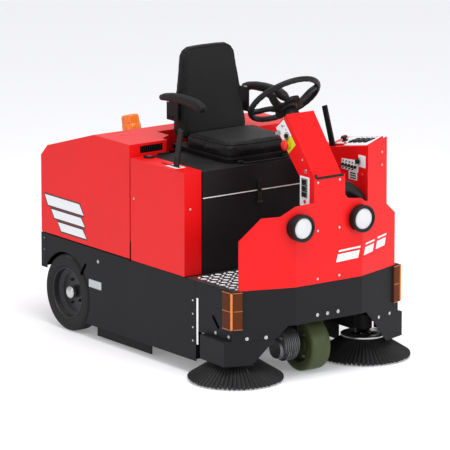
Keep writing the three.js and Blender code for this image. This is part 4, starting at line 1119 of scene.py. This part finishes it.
def rim_shape():
    points, faces, steps, sides = [], [], 120, 16
    for i in range(steps):
        angle = TURN * i / steps
        hump = 0.0012 * (0.5 + 0.5 * math.cos(angle * 30))
        for k in range(sides):
            turn = TURN * k / sides
            thick = 0.0158 - (hump if math.sin(turn) < -0.2 else 0.0)
            points.append(on_wheel(angle, RIM_RADIUS + thick * math.cos(turn), thick * math.sin(turn)))
    for i in range(steps):
        faces += [(i * sides + k, i * sides + (k + 1) % sides, (i + 1) % steps * sides + (k + 1) % sides,
                   (i + 1) % steps * sides + k) for k in range(sides)]
    return points, faces


def spoke_shape(degrees, boss_degrees):
    angle, inner = math.radians(degrees), math.radians(boss_degrees)
    path = []
    for k in range(9):
        share = k / 8
        radius = 0.070 + (RIM_RADIUS - 0.070) * share
        swing = inner + (angle - inner) * min(1.0, share * 1.6)
        drop = -0.040 * (1 - share) ** 1.35 if share < 1 else 0.0
        path.append(on_wheel(swing, radius, drop))
    section = [(a * 1.6, b * 1.4) for a, b in ((-0.013, -0.004), (-0.010, -0.0075), (0.010, -0.0075), (0.013, -0.004),
                                                (0.013, 0.004), (0.010, 0.0065), (-0.010, 0.0065), (-0.013, 0.004))]
    return bar(path, section, up=WHEEL_FRAME @ Z_AXIS)


boss_axis = WHEEL_FRAME @ Z_AXIS
boss = turned([(0, -0.068), (0.042, -0.068), (0.052, -0.058), (0.055, -0.044), (0.050, -0.034), (0.036, -0.028),
               (0.030, -0.027), (0.027, -0.024), (0, -0.022)], WHEEL_CENTRE, boss_axis, 40)
spokes = [spoke_shape(a, b) for a, b in ((-30, -13), (30, 13), (150, 167), (210, 193))]
spine = [bar([on_wheel(0, -0.085, -0.040), on_wheel(0, -0.05, -0.046), on_wheel(0, 0, -0.048),
              on_wheel(0, 0.05, -0.046),
              on_wheel(0, 0.085, -0.040)], [(a * 3.6, b * 1.5) for a, b in round_section(0.012, 12, 0.8)],
              up=boss_axis)]
hub_plate = [on_wheel(0, 0, -0.036) + WHEEL_FRAME @ Vector((x, y, 0))
             for x, y in rounded_outline(0.040, 0.092, 0.030)]
spine.append(plate(hub_plate, 0.020, -boss_axis))
fit(mesh_object("steering_wheel_moulded", [rim_shape(), boss, *spokes, *spine], FINISH["black_plastic"]), "steering",
    "black_plastic", "steering_wheel")

# %% [markdown]
# ## Lamps and beacon
# A headlight is a black rim round a clear glass, with a bright bowl behind it. The beacon has an amber lens with
# upright flutes, on a foot ring. The corner markers have a bright amber bar at the corner, a painted highlight where
# the lens catches the light, fine dark ribs across the lens and thin amber frames.

# %% Headlights
LAMP_X, LAMP_Y, LAMP_Z = 0.202, -0.894, 0.846
for side, sign in SIDES.items():
    lamp = (sign * LAMP_X, LAMP_Y, LAMP_Z)
    bezel = ring_of([(0.0575, 0.0770), (0.0610, 0.0850), (0.0680, 0.0858), (0.0735, 0.0825), (0.0735, 0.0700),
                     (0.0722, 0.0700),
                     (0.0722, 0.0765), (0.0600, 0.0770)], lamp, (0, -1, 0), 72)
    fit(mesh_object(f"headlight_bezel_{side}", [bezel], FINISH["black_plastic"]), "machine", "black_plastic")
    glass = turned([(0, 0.0705), (0.052, 0.0705), (0.0555, 0.0725), (0.0560, 0.0760), (0.0530, 0.0790),
                    (0.044, 0.0806), (0.030, 0.0820),
                    (0.015, 0.0828), (0, 0.0831)], lamp, (0, -1, 0), 72)
    fit(mesh_object(f"headlight_glass_{side}", [glass], FINISH["clear_lens"]), "machine", "clear_lens",
        f"headlight_lens_{side}")
    bowl = turned([(0, 0.0615), (0.046, 0.0615), (0.0520, 0.0690), (0.0540, 0.0702), (0.0500, 0.0698),
                   (0.030, 0.0660), (0.009, 0.0645),
                   (0.007, 0.0690), (0, 0.0698)], lamp, (0, -1, 0), 48)
    fit(mesh_object(f"headlight_bowl_{side}", [bowl], FINISH["bare_steel"]), "machine", "bare_steel")

# %% Beacon and corner markers
BEACON_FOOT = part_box("beacon_base")
beacon_middle = Vector(((BEACON_FOOT[0].x + BEACON_FOOT[1].x) / 2, 0.800, 0))
slope = (1.159 - 1.027) / (0.912 - 0.460)
beacon_middle.z = 1.159 - (0.800 - 0.460) * slope + 0.0003
beacon_axis = Vector((0, slope, 1)).normalized()


def fluted(levels, flutes, depth, centre, axis):
    """A turned wall whose radius ripples round it."""
    turn = Vector(axis).to_track_quat("Z", "Y").to_matrix()
    steps = flutes * 4
    points, faces = [], []
    for radius, height, share in levels:
        for i in range(steps):
            ripple = radius - depth * share * (0.5 + 0.5 * math.cos(TURN * i * flutes / steps))
            points.append(turn @ Vector((ripple * math.cos(TURN * i / steps), ripple * math.sin(TURN * i / steps),
                                         height)) + Vector(centre))
    faces = [(r * steps + i, r * steps + (i + 1) % steps, (r + 1) * steps + (i + 1) % steps, (r + 1) * steps + i)
             for r in range(len(levels) - 1) for i in range(steps)]
    faces += [tuple(range(steps))[::-1], tuple(range((len(levels) - 1) * steps, len(levels) * steps))]
    return points, faces


dome = fluted([(0.050, 0.008, 0), (0.0535, 0.009, 0), (0.0540, 0.040, 0), (0.0520, 0.043, 0), (0.0500, 0.045, 1),
               (0.0490, 0.086, 1),
               (0.0470, 0.092, 0), (0.0420, 0.0965, 0), (0.030, 0.0985, 0)], 28, 0.0022, beacon_middle, beacon_axis)
fit(mesh_object("beacon_lens", [dome], FINISH["amber_lens"]), "hood", "amber_lens", "beacon_dome")
foot = turned([(0, 0), (0.058, 0), (0.058, 0.005), (0.055, 0.008), (0.047, 0.0085), (0, 0.0085)], beacon_middle,
              beacon_axis, 48)
fit(mesh_object("beacon_foot", [foot], FINISH["black_plastic"], 0.0006), "hood", "black_plastic", "beacon_base")

marker_ribs, marker_frames, marker_corner_highlights = [], [], []
for sign in SIDES.values():
    corner_y = nose_y(SKIRT_FACE)
    turn_y = nose_y(0.5100)
    for k in range(15):
        z = 0.326 + 0.0128 * k
        marker_ribs.append(bar([(sign * 0.5708, -0.756, z), (sign * 0.5708, corner_y + 0.006, z)],
                               round_section(0.0021, 6)))
        marker_ribs.append(bar([(sign * 0.5635, corner_y - 0.0078, z), (sign * 0.5135, turn_y - 0.0090, z)],
                               round_section(0.0021, 6)))
    # A round bar in the bright amber lens finish down each marker's corner: a painted highlight where the lens
    # catches the light.
    marker_corner_highlights.append(bar([(sign * 0.5680, corner_y - 0.0070, 0.318), (sign * 0.5680, corner_y - 0.0070, 0.515)],
                           round_section(0.0062, 16), up=Y_AXIS))
    for z in (0.3168, 0.4165, 0.5162):
        marker_frames.append(bar([(sign * 0.5722, -0.7505, z), (sign * 0.5722, corner_y - 0.006, z),
                                  (sign * 0.5110, turn_y - 0.0115, z)],
                                 [(-0.0016, -0.0022), (0.0016, -0.0022), (0.0016, 0.0022), (-0.0016, 0.0022)]))
fit(mesh_object("marker_ribs", marker_ribs, FINISH["marker_wall"]), "machine", "amber_lens")
fit(mesh_object("marker_corners", marker_corner_highlights, FINISH["amber_lens"]), "machine", "amber_lens")
fit(mesh_object("marker_frames", marker_frames, FINISH["amber_edge"], 0.0004), "machine", "amber_lens")

# %% [markdown]
# ## Labels and switches
# Printed film is a thin plate with its own thickness, and its symbols are plain bars, dots and rings laid on top, so
# nothing is readable and nothing needs an image. Switches are small turned or bevelled parts.

# %% Column labels and switches
COLUMN_X = -0.0902
FILM = 0.0006


def on_column(corners, rise=0.0):
    return [Vector((COLUMN_X - rise, y, z)) for y, z in corners]


def dot(place, radius, normal, thick=0.0005):
    return turned([(0, -0.0002), (radius, -0.0002), (radius, thick), (0, thick)], place, normal, 20)


LEFTWARD = (-1, 0, 0)
fit(mesh_object("column_grey_label",
                [plate(on_column([(-0.648, 1.369), (-0.579, 1.312), (-0.639, 1.255), (-0.717, 1.290)]),
                                            FILM, LEFTWARD)], WHITE_LABEL), "machine", "red_paint")
fit(mesh_object("column_yellow_label",
                [plate(on_column([(-0.639, 1.2535), (-0.717, 1.2885), (-0.754, 1.247), (-0.693, 1.191)]),
                                              FILM, LEFTWARD)], YELLOW_LABEL), "machine", "red_paint")
fit(mesh_object("column_rocker_plate",
                [plate(on_column([(-0.793, 0.928), (-0.793, 1.090), (-0.876, 1.090), (-0.876, 0.928)]), FILM,
                                              LEFTWARD)], WHITE_LABEL), "machine", "red_paint")
rocker_frames, print_marks, red_marks = [], [], []
for z in (1.062, 1.028, 0.994):
    rocker_frames.append(bar([(COLUMN_X - 0.0020, -0.834 + y, z + h) for y, h in ((-0.0235, -0.0155),
            (0.0235, -0.0155), (0.0235, 0.0155),
                                                                                  (-0.0235, 0.0155))],
                             [(-0.0014, -0.0014), (0.0014, -0.0014), (0.0014, 0.0014), (-0.0014, 0.0014)],
                             closed=True, up=X_AXIS))
    print_marks.append(plate(on_column([(-0.812, z - 0.006), (-0.812, z + 0.006), (-0.806, z + 0.006),
                                        (-0.806, z - 0.006)], FILM), 0.0003, LEFTWARD))
print_marks += [plate(on_column([(-0.690, 1.262 + k * 0.006), (-0.690, 1.2645 + k * 0.006),
                                 (-0.658, 1.2645 + k * 0.006),
                                 (-0.658, 1.262 + k * 0.006)], FILM), 0.0003, LEFTWARD) for k in range(2)]
print_marks += [dot((COLUMN_X - FILM, y, z), 0.0035, LEFTWARD) for y, z in ((-0.630, 1.330), (-0.655, 1.335),
                                                                            (-0.668, 1.318), (-0.705, 1.222))]
print_marks.append(ring_of([(0.017, 0.0001), (0.017, 0.0004), (0.0195, 0.0004), (0.0195, 0.0001)],
                           (COLUMN_X - FILM, -0.678, 1.285), LEFTWARD, 40))
red_marks.append(turned([(0, 0), (0.0105, 0), (0.0105, 0.0020), (0.008, 0.0035), (0, 0.0040)],
                        (COLUMN_X - FILM, -0.837, 0.954), LEFTWARD, 28))
for number, z in enumerate((1.062, 1.028, 0.994), 1):
    cap_face = [(COLUMN_X - 0.0048, -0.834 + y, z + h) for y, h in ((-0.019, -0.0115), (0.019, -0.0115),
                                                                    (0.019, 0.0115), (-0.019, 0.0115))]
    fit(mesh_object(f"rocker_cap_{number}", [plate(cap_face, 0.0035, LEFTWARD)], FINISH["black_plastic"], 0.0012),
        f"rocker_{number}", "black_plastic")
fit(mesh_object("column_rocker_frames", rocker_frames, FINISH["black_plastic"]), "machine", "black_plastic")
fit(mesh_object("column_print", print_marks, DARK_PRINT), "machine", "black_plastic")
fit(mesh_object("column_warning_lamp", red_marks, FINISH["red_plastic"]), "machine", "red_plastic")

mushroom = turned([(0, -0.016), (0.0078, -0.016), (0.0078, 0.011), (0.0225, 0.013), (0.0268, 0.016), (0.0278, 0.021),
                   (0.0262, 0.027),
                   (0.0215, 0.0315), (0.0125, 0.0338), (0, 0.0342)], (-0.090, -0.683, 1.236), LEFTWARD, 48)
fit(mesh_object("stop_mushroom", [mushroom], FINISH["red_plastic"]), "stop_button", "red_plastic", "emergency_stop")
collar = turned([(0, 0.0006), (0.0185, 0.0006), (0.0185, 0.0035), (0.0150, 0.0050), (0.0095, 0.0050), (0, 0.0045)],
                (COLUMN_X, -0.683, 1.236), LEFTWARD, 40)
washers = [ring_of([(0.005, 0), (0.005, 0.0016), (0.011, 0.0016), (0.0115, 0)],
                   touch((-0.09, -0.840, 1.118), LEFTWARD), LEFTWARD, 24),
           ring_of([(0.0092, 0.0006), (0.0092, 0.0030), (0.0135, 0.0030), (0.0140, 0.0006)],
                   (COLUMN_X, -0.608, 1.290), LEFTWARD, 32)]
fit(mesh_object("stop_collar", [collar], YELLOW_LABEL, 0.0003), "machine", "black_plastic")
fit(mesh_object("column_washers", washers, FINISH["bare_steel"]), "machine", "bare_steel")

# %% The bright seam strip, the seal across the column and the wiring trunk
seal = [bar([(-0.0905, -0.9295, 1.118), (-0.0905, -0.9365, 1.0985), (-0.084, -0.9375, 1.0965),
             (0.084, -0.9375, 1.0965),
             (0.0905, -0.9365, 1.0985)], [(-0.0065, -0.0028), (0.0065, -0.0028), (0.0065, 0.0028), (-0.0065, 0.0028)],
             up=Y_AXIS)]
fit(mesh_object("column_seal", seal, FINISH["black_plastic"]), "machine", "black_plastic")
seam = [plate([(-0.443, LID_FACE, 0.9375), (0.443, LID_FACE, 0.9375), (0.443, LID_FACE, 0.9420),
               (-0.443, LID_FACE, 0.9420)], 0.0030, (0, -1, 0))]
fit(mesh_object("battery_seam_strip", seam, BRIGHT_TRIM_AND_HIGHLIGHT), "machine", "bare_steel")
trunk_line = [(0.093, -0.868, 1.004), (0.12, -0.872, 1.014), (0.16, -0.872, 1.004), (0.20, -0.868, 0.976),
              (0.24, -0.862, 0.940), (0.266, -0.858, 0.910)]
trunk = bar(trunk_line, round_section(0.046, 20, 0.85), up=Z_AXIS)
fit(mesh_object("wiring_trunk", [trunk], FINISH["black_plastic"]), "machine", "black_plastic")

# %% [markdown]
# The console's sloping top carries a red switch panel that climbs towards the machine's outer side. Its film has
# four dark rockers, a black button with a red badge, and a lamp. The inner face has films with bars, five toggles, a
# ring round the dial and a red lamp. Places on the sloping top come from touching it, so every part lies on it.

# %% Console top
TOP_ALONG = (Vector((0, -0.950, 1.231)) - Vector((0, -0.400, 1.135))).normalized()
TOP_UP = TOP_ALONG.cross(X_AXIS).normalized()


def on_top(x, y, rise=0.0):
    """A point of the console's sloping top, found by touching it."""
    return touch((x, y, 1.19), TOP_UP, 0.08) + TOP_UP * rise


top_corners = [(0.284, -0.895), (0.436, -0.845), (0.436, -0.505), (0.318, -0.505), (0.318, -0.668), (0.284, -0.668)]
PANEL_RISE, PANEL_FOOT, PANEL_WIDTH = 0.034, 0.284, 0.152


def on_panel(x, y, rise=0.0):
    """A point of the tilted switch panel, which climbs towards the machine's outer side."""
    return on_top(x, y, 0.001 + PANEL_RISE * (x - PANEL_FOOT) / PANEL_WIDTH + rise)


panel_foot = [on_top(x, y, -0.001) for x, y in top_corners]
panel_face = [on_panel(x, y) for x, y in top_corners]
corner_count = len(top_corners)
switch_panel = (panel_foot + panel_face, [tuple(range(corner_count))[::-1],
                                          tuple(range(corner_count, 2 * corner_count))] + [
    (k, (k + 1) % corner_count, corner_count + (k + 1) % corner_count, corner_count + k)
    for k in range(corner_count)])
PANEL_UP = (panel_face[1] - panel_face[0]).cross(panel_face[2] - panel_face[0]).normalized()
PANEL_UP = PANEL_UP if PANEL_UP.z > 0 else -PANEL_UP
fit(mesh_object("switch_panel", [switch_panel], FINISH["red_paint"], 0.001), "machine", "red_paint")
face_corners = [(0.290, -0.886), (0.430, -0.840), (0.430, -0.560), (0.324, -0.560), (0.324, -0.674), (0.290, -0.674)]
fit(mesh_object("switch_panel_film", [plate([on_panel(x, y, 0.0002) for x, y in face_corners], 0.0006, PANEL_UP)],
                WHITE_LABEL),
    "machine", "red_paint")
top_rockers, top_print = [], []
for k in range(4):
    y = -0.815 + 0.045 * k
    base = [on_panel(x, yy, 0.0006) for x, yy in ((0.330, y - 0.014), (0.396, y - 0.014), (0.396, y + 0.014),
                                                  (0.330, y + 0.014))]
    top_rockers.append(plate(base, 0.005, PANEL_UP))
    half = [on_panel(x, yy, 0.005) for x, yy in ((0.334, y - 0.010), (0.362, y - 0.010), (0.362, y + 0.010),
                                                 (0.334, y + 0.010))]
    top_rockers.append(plate(half, 0.004, PANEL_UP))
    top_print.append(plate([on_panel(x, yy, 0.0007) for x, yy in ((0.411, y - 0.006), (0.422, y - 0.006),
                                                                  (0.422, y + 0.006), (0.411, y + 0.006))],
                           0.0004, PANEL_UP))
fit(mesh_object("console_rockers", top_rockers, FINISH["black_plastic"], 0.0008), "machine", "black_plastic")
fit(mesh_object("console_print", top_print, DARK_PRINT), "machine", "black_plastic")
horn = turned([(0, 0.006), (0.0105, 0.006), (0.0105, 0.018), (0.0185, 0.020), (0.0195, 0.025), (0.0150, 0.030),
               (0, 0.031)],
              on_panel(0.362, -0.600), PANEL_UP, 32)
horn_badge = turned([(0, 0.030), (0.0125, 0.030), (0.0125, 0.0318), (0.011, 0.0325), (0, 0.0325)],
                    on_panel(0.362, -0.600), PANEL_UP, 28)
horn_foot = turned([(0, -0.002), (0.0170, -0.002), (0.0170, 0.006), (0.0140, 0.009), (0, 0.009)],
                   on_panel(0.362, -0.600), PANEL_UP, 32)
fit(mesh_object("horn_foot", [horn, horn_foot], FINISH["black_plastic"]), "machine", "black_plastic")
lamp_dot = turned([(0, 0), (0.007, 0), (0.007, 0.002), (0.005, 0.005), (0, 0.0055)], on_panel(0.332, -0.640),
                  PANEL_UP, 20)
fit(mesh_object("horn_button", [horn_badge, lamp_dot], FINISH["red_plastic"]), "machine", "red_plastic")

# %% Console inner face
INNER_X = 0.2688
inner_plates = [[(-0.690, 1.066), (-0.690, 1.122), (-0.836, 1.132), (-0.836, 1.066)],
                [(-0.752, 1.020), (-0.752, 1.0655), (-0.826, 1.0655), (-0.826, 1.020)],
                [(-0.8365, 1.100), (-0.8365, 1.166), (-0.898, 1.166), (-0.898, 1.100)]]
fit(mesh_object("console_side_plates", [plate([(INNER_X, y, z) for y, z in c], 0.0007, LEFTWARD)
                                        for c in inner_plates], WHITE_LABEL, 0.0002),
    "machine", "red_paint")
toggle = [turned([(0, 0), (0.0062, 0), (0.0062, 0.0030), (0.0045, 0.0036), (0.0045, 0.0062), (0.0018, 0.0066),
                  (0, 0.0066)], (0, 0, 0), Z_AXIS, 12),
          turned([(0, 0.005), (0.0018, 0.005), (0.0026, 0.018), (0.0022, 0.0205), (0, 0.0212)], (0, 0, 0),
                 (0.45, 0, 1), 10)]
toggle_places = [((INNER_X - 0.0007, -0.704 - 0.027 * k, 1.092), LEFTWARD, (0, 0, -1)) for k in range(5)]
repeat("console_toggles", toggle, toggle_places, FINISH["black_plastic"], "machine", "black_plastic", size=1.45)
side_print = [plate([(INNER_X - 0.0007, y, z) for y, z in ((-0.698 - 0.027 * k, 1.108), (-0.710 - 0.027 * k, 1.108),
                                                           (-0.710 - 0.027 * k, 1.116), (-0.698 - 0.027 * k, 1.116))],
                    0.0004, LEFTWARD) for k in range(5)]
side_print += [plate([(INNER_X - 0.0007, y, z) for y, z in ((-0.764, 1.026 + 0.013 * k), (-0.764, 1.034 + 0.013 * k),
                                                            (-0.816, 1.034 + 0.013 * k),
                                                            (-0.816, 1.026 + 0.013 * k))],
                     0.0004, LEFTWARD) for k in range(3)]
side_print.append(ring_of([(0.0165, 0.0001), (0.0165, 0.0004), (0.0190, 0.0004), (0.0190, 0.0001)],
                          (INNER_X - 0.0007, -0.837, 1.129), LEFTWARD, 40))
fit(mesh_object("console_side_print", side_print, DARK_PRINT), "machine", "black_plastic")
red_lamp = turned([(0, 0), (0.0095, 0), (0.0095, 0.004), (0.006, 0.007), (0, 0.008)], (INNER_X, -0.871, 1.060),
                  LEFTWARD, 28)
fit(mesh_object("console_lamp", [red_lamp], FINISH["red_plastic"]), "machine", "red_plastic")

# %% [markdown]
# ## Striping
# Plain white stripes break up the red: three slanted bars on the nose, each with a thin line above it and folded
# with the panel, and three broad bars with a dark edge on each side of the hood.

# %% Stripes
white_bars, dark_bars = [], []


def stripe(corners, normal, edge=0.008):
    """A white bar, and a larger dark one behind it that shows as its edge."""
    middle = sum((Vector(c) for c in corners), Vector()) / len(corners)
    grown = [Vector(c) + Vector([math.copysign(edge, side) if abs(side) > 0.001 else 0.0
                                 for side in Vector(c) - middle]) for c in corners]
    outward = Vector(normal).normalized()
    return (plate([Vector(c) + outward * 0.0004 for c in corners], 0.0004, normal),
            plate([g + outward * 0.0001 for g in grown], 0.0003, normal))


for sign in SIDES.values():
    for shape in ([(0.940, 0.745), (0.600, 0.745), (0.558, 0.688), (0.908, 0.688)], [(0.875, 0.670), (0.585, 0.670),
            (0.548, 0.624), (0.846, 0.624)],
                  [(0.812, 0.606), (0.570, 0.606), (0.532, 0.560), (0.780, 0.560)]):
        white, dark = stripe([(sign * 0.5602, y, z) for y, z in shape], (sign, 0, 0))
        white_bars.append(white)
        dark_bars.append(dark)
fit(mesh_object("hood_stripes", white_bars, WHITE_LABEL), "hood", "red_paint")
fit(mesh_object("hood_stripe_edges", dark_bars, DARK_PRINT), "hood", "red_paint")

nose_bars = []
for k, (x0, x1) in enumerate(((0.045, 0.205), (0.236, 0.330), (0.346, 0.440))):
    low, high = 0.622 + 0.012 * k, 0.664 + 0.012 * k
    corners = [(x0, low), (x1 - 0.012, low + 0.006), (x1, high + 0.006), (x0 + 0.012, high)]
    out = Vector(nose_normal((x0 + x1) / 2)).normalized()
    nose_bars.append(plate([Vector((x, nose_y(x), z)) + out * 0.0003 for x, z in corners], 0.0004, out))
    thin = [(x0 + 0.016, high + 0.012), (x1 + 0.003, high + 0.018), (x1 + 0.006, high + 0.028),
            (x0 + 0.019, high + 0.022)]
    nose_bars.append(plate([Vector((x, nose_y(x), z)) + out * 0.0003 for x, z in thin], 0.0004, out))
fit(mesh_object("nose_stripes", nose_bars, WHITE_LABEL), "machine", "red_paint")

# %% [markdown]
# ## Side panel top, hood vents and hinges
# The right side panel has a white plate round the front of the broom lever's slot, and a ribbed filler cap. The hood
# breathes through a slotted grille beside the seat and louvres at the back, where its hinge leaves show too.

# %% Filler cap and slot plate
slot_film = [plate([(x, y, 1.0921) for x, y in corners], 0.0006, (0, 0, 1)) for corners in (
    [(-0.532, -0.280), (-0.510, -0.280), (-0.510, -0.178), (-0.532, -0.178)],
    [(-0.490, -0.280), (-0.468, -0.280), (-0.468, -0.178), (-0.490, -0.178)],
    [(-0.510, -0.280), (-0.490, -0.280), (-0.490, -0.270), (-0.510, -0.270)])]
fit(mesh_object("lever_slot_plate", slot_film, WHITE_LABEL), "machine", "red_paint")
CAP_CENTRE = Vector((-0.478, 0.048, 1.0922))
cap = fluted([(0.030, 0.0, 0), (0.031, 0.002, 1), (0.031, 0.008, 1), (0.028, 0.010, 0), (0.018, 0.0105, 0)], 24,
             0.003, CAP_CENTRE, Z_AXIS)
fit(mesh_object("filler_cap", [cap], FINISH["black_plastic"], 0.0006), "machine", "black_plastic")
badge = turned([(0, 0), (0.017, 0), (0.017, 0.0014), (0.015, 0.0020), (0, 0.0020)], CAP_CENTRE + Z_AXIS * 0.0105,
               Z_AXIS, 28)
fit(mesh_object("filler_cap_badge", [badge], FINISH["red_plastic"]), "machine", "red_plastic")

# %% Grille, louvres, hinges and handle
slats = [plate([(x, 0.1185, 1.105), (x + 0.006, 0.1185, 1.105), (x + 0.006, 0.1185, 1.143), (x, 0.1185, 1.143)],
               0.012, (0, 1, 0.25))
         for x in [-0.484 + 0.0142 * k for k in range(10)]]
slats.append(plate([(-0.492, 0.160, 1.098), (-0.334, 0.160, 1.098), (-0.334, 0.160, 1.150), (-0.492, 0.160, 1.150)],
                   0.003, (0, 1, 0)))
fit(mesh_object("hood_grille", slats, FINISH["black_plastic"], 0.0006), "hood", "black_plastic")


def louvre():
    """A pressed louvre: an arched lip with closed ends."""
    points, faces, steps = [], [], 10
    for k in range(steps + 1):
        share = k / steps
        x = -0.11 + 0.22 * share
        bulge = 0.0032 * min(1.0, 6 * share, 6 * (1 - share))
        points += [Vector((x, -0.012, 0)), Vector((x, -0.004, bulge * 0.7 + 0.0004)),
                   Vector((x, 0.008, bulge + 0.0004)), Vector((x, 0.010, 0))]
    for k in range(steps):
        faces += [(4 * k + j, 4 * k + (j + 1) % 4, 4 * k + 4 + (j + 1) % 4, 4 * k + 4 + j) for j in range(4)]
    faces += [(0, 1, 2, 3), tuple(4 * steps + j for j in (3, 2, 1, 0))]
    return points, faces


louvre_places = [((x, 0.976, z), (0, 1, 0), (1, 0, 0)) for x in (-0.28, 0.28)
                 for z in [0.66 + 0.034 * k for k in range(7)]]
repeat("rear_louvres", [louvre()], louvre_places, FINISH["red_paint"], "hood", "red_paint", bevel=0.0)
handle = bar([(-0.055, 0.9755, 0.905), (-0.055, 0.9768, 0.905), (0.055, 0.9768, 0.905), (0.055, 0.9755, 0.905)],
             [(-0.003, -0.008), (0.003, -0.008), (0.003, 0.008), (-0.003, 0.008)], up=Z_AXIS)
fit(mesh_object("hood_pull", [handle], FINISH["black_plastic"], 0.0006), "hood", "black_plastic")
hinge_leaves = []
for x in (-0.34, 0.34):
    hinge_leaves += [plate([(x - 0.03, 0.9762, 0.528), (x + 0.03, 0.9762, 0.528), (x + 0.03, 0.9762, 0.566),
                            (x - 0.03, 0.9762, 0.566)], 0.002, (0, 1, 0))]
fit(mesh_object("hood_hinge_leaves", hinge_leaves, FINISH["bare_steel"], 0.0004), "hood", "bare_steel")

# %% [markdown]
# ## Battery latch, seat frame and pedal
# A rubber strap with a ridged pull holds the lid. Under the seat a bent steel lip and two slide rails show, with the
# slide's release bar in front. The pedal has ribbed rubber on it.

# %% Latch, seat rails and pedal ribs
LATCH_X = -0.071
strap_ribs = [bar([(LATCH_X - 0.0125, -0.4105, 0.884 + 0.011 * k), (LATCH_X + 0.0125, -0.4105, 0.884 + 0.011 * k)],
                  round_section(0.0022, 8)) for k in range(5)]
strap_ribs.append(bar([(LATCH_X - 0.019, -0.4115, 0.8755), (LATCH_X + 0.019, -0.4115, 0.8755)],
                      round_section(0.0048, 14)))
fit(mesh_object("latch_ribs", strap_ribs, FINISH["tyre_rubber"]), "latch", "tyre_rubber")
keeper = [plate([(LATCH_X - 0.022, LID_FACE, 0.972), (LATCH_X + 0.022, LID_FACE, 0.972),
                 (LATCH_X + 0.022, LID_FACE, 1.006), (LATCH_X - 0.022, LID_FACE, 1.006)], 0.0022, (0, -1, 0))]
fit(mesh_object("latch_bracket", keeper, FINISH["black_paint"], 0.0005), "lid", "black_paint")

rails, frame_lip = [], []
for x in (-0.150, 0.150):
    rails.append(bar([(x, -0.355, 1.0925), (x, 0.120, 1.0925)], [(-0.017, -0.006), (0.017, -0.006), (0.017, 0.006),
                                                                 (0.012, 0.0085), (-0.012, 0.0085), (-0.017, 0.006)]))
fit(mesh_object("seat_rails", rails, FINISH["black_paint"], 0.0008), "lid", "black_paint")
lip_line = rounded_outline(0.222, 0.200, 0.045)
frame_lip.append(bar([(x, y - 0.1305, 1.1125) for x, y in lip_line], [(-0.004, -0.006), (0.004, -0.006),
                                                                      (0.004, 0.006), (-0.004, 0.006)], closed=True))
frame_lip.append(bar([(-0.145, -0.345, 1.098), (-0.145, -0.372, 1.092), (-0.125, -0.382, 1.092),
                      (0.125, -0.382, 1.092), (0.145, -0.372, 1.092), (0.145, -0.345, 1.098)],
                     round_section(0.005, 10)))
fit(mesh_object("seat_frame_lip", frame_lip, FINISH["black_paint"]), "seat", "black_paint")
seat_bolts = [fastener((sign * 0.243, y, z), (sign, 0, 0)) for sign in SIDES.values()
              for y, z in ((0.16, 1.27), (0.19, 1.27))]
repeat("seat_bolts", DOME_BOLT, seat_bolts, FINISH["black_paint"], "seat", "black_paint", size=0.9)
PEDAL_SLOPE = math.radians(31)
PEDAL_HEEL = Vector((-0.200, -0.700, 0.545))
PEDAL_ALONG = Vector((0, -math.cos(PEDAL_SLOPE), math.sin(PEDAL_SLOPE)))
PEDAL_UP = Vector((0, math.sin(PEDAL_SLOPE), math.cos(PEDAL_SLOPE)))
pedal_ribs = []
for k in range(9):
    place = PEDAL_HEEL + PEDAL_ALONG * (0.020 + 0.019 * k)
    lifted = place + PEDAL_UP * 0.0055
    pedal_ribs.append(bar([lifted - X_AXIS * 0.034, lifted + X_AXIS * 0.034], round_section(0.0028, 8)))
fit(mesh_object("pedal_ribs", pedal_ribs, FINISH["tyre_rubber"]), "pedal", "tyre_rubber")

# %% [markdown]
# ## Under the hood and the lid
# With the hood up the filter shows its pleats in a steel frame, and with the lid up the pack shows its cell caps and
# its two terminals. They start from the boxes of the solids that they lie on.

# %% Filter pleats, cell caps and terminals
filter_low, filter_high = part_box("dust_filter")
pleats, pitch = [], 0.016
for k in range(int((filter_high.x - filter_low.x - 0.05) / pitch)):
    x = filter_low.x + 0.030 + pitch * k
    pleats.append(bar([(x, filter_low.y + 0.022, filter_high.z), (x, filter_high.y - 0.022, filter_high.z)],
                      [(-0.0062, -0.001), (0.0062, -0.001), (0.0010, 0.006), (-0.0010, 0.006)], up=Z_AXIS))
fit(mesh_object("filter_pleats", pleats, FINISH["filter_media"]), "machine", "filter_media")
rim_height = filter_high.z + 0.002
frame_bars = [bar([(filter_low.x + 0.009, filter_low.y + 0.009, rim_height), (filter_high.x - 0.009,
        filter_low.y + 0.009, rim_height),
                   (filter_high.x - 0.009, filter_high.y - 0.009, rim_height), (filter_low.x + 0.009,
                           filter_high.y - 0.009, rim_height)],
                  [(-0.008, -0.003), (0.008, -0.003), (0.008, 0.004), (-0.008, 0.004)], closed=True, up=Z_AXIS)]
fit(mesh_object("filter_frame", frame_bars, FINISH["bare_steel"]), "machine", "bare_steel")
pack_low, pack_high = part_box("battery_pack")
cell_cap = turned([(0, -0.001), (0.014, -0.001), (0.014, 0.003), (0.011, 0.0045), (0, 0.0045)], (0, 0, 0), Z_AXIS, 20)
cap_places = [((pack_low.x + (pack_high.x - pack_low.x) * (i + 0.5) / 8,
                pack_low.y + (pack_high.y - pack_low.y) * share, pack_high.z),
               (0, 0, 1), (1, 0, 0)) for i in range(8) for share in (0.3, 0.5, 0.7)]
repeat("cell_caps", [cell_cap], cap_places, FINISH["red_plastic"], "machine", "red_plastic")
terminals = [turned([(0, -0.001), (0.010, -0.001), (0.009, 0.0055), (0, 0.006)], (x, pack_low.y + 0.035, pack_high.z),
                    Z_AXIS, 20)
             for x in (pack_low.x + 0.05, pack_high.x - 0.05)]
fit(mesh_object("battery_terminals", terminals, FINISH["bare_steel"]), "machine", "bare_steel")
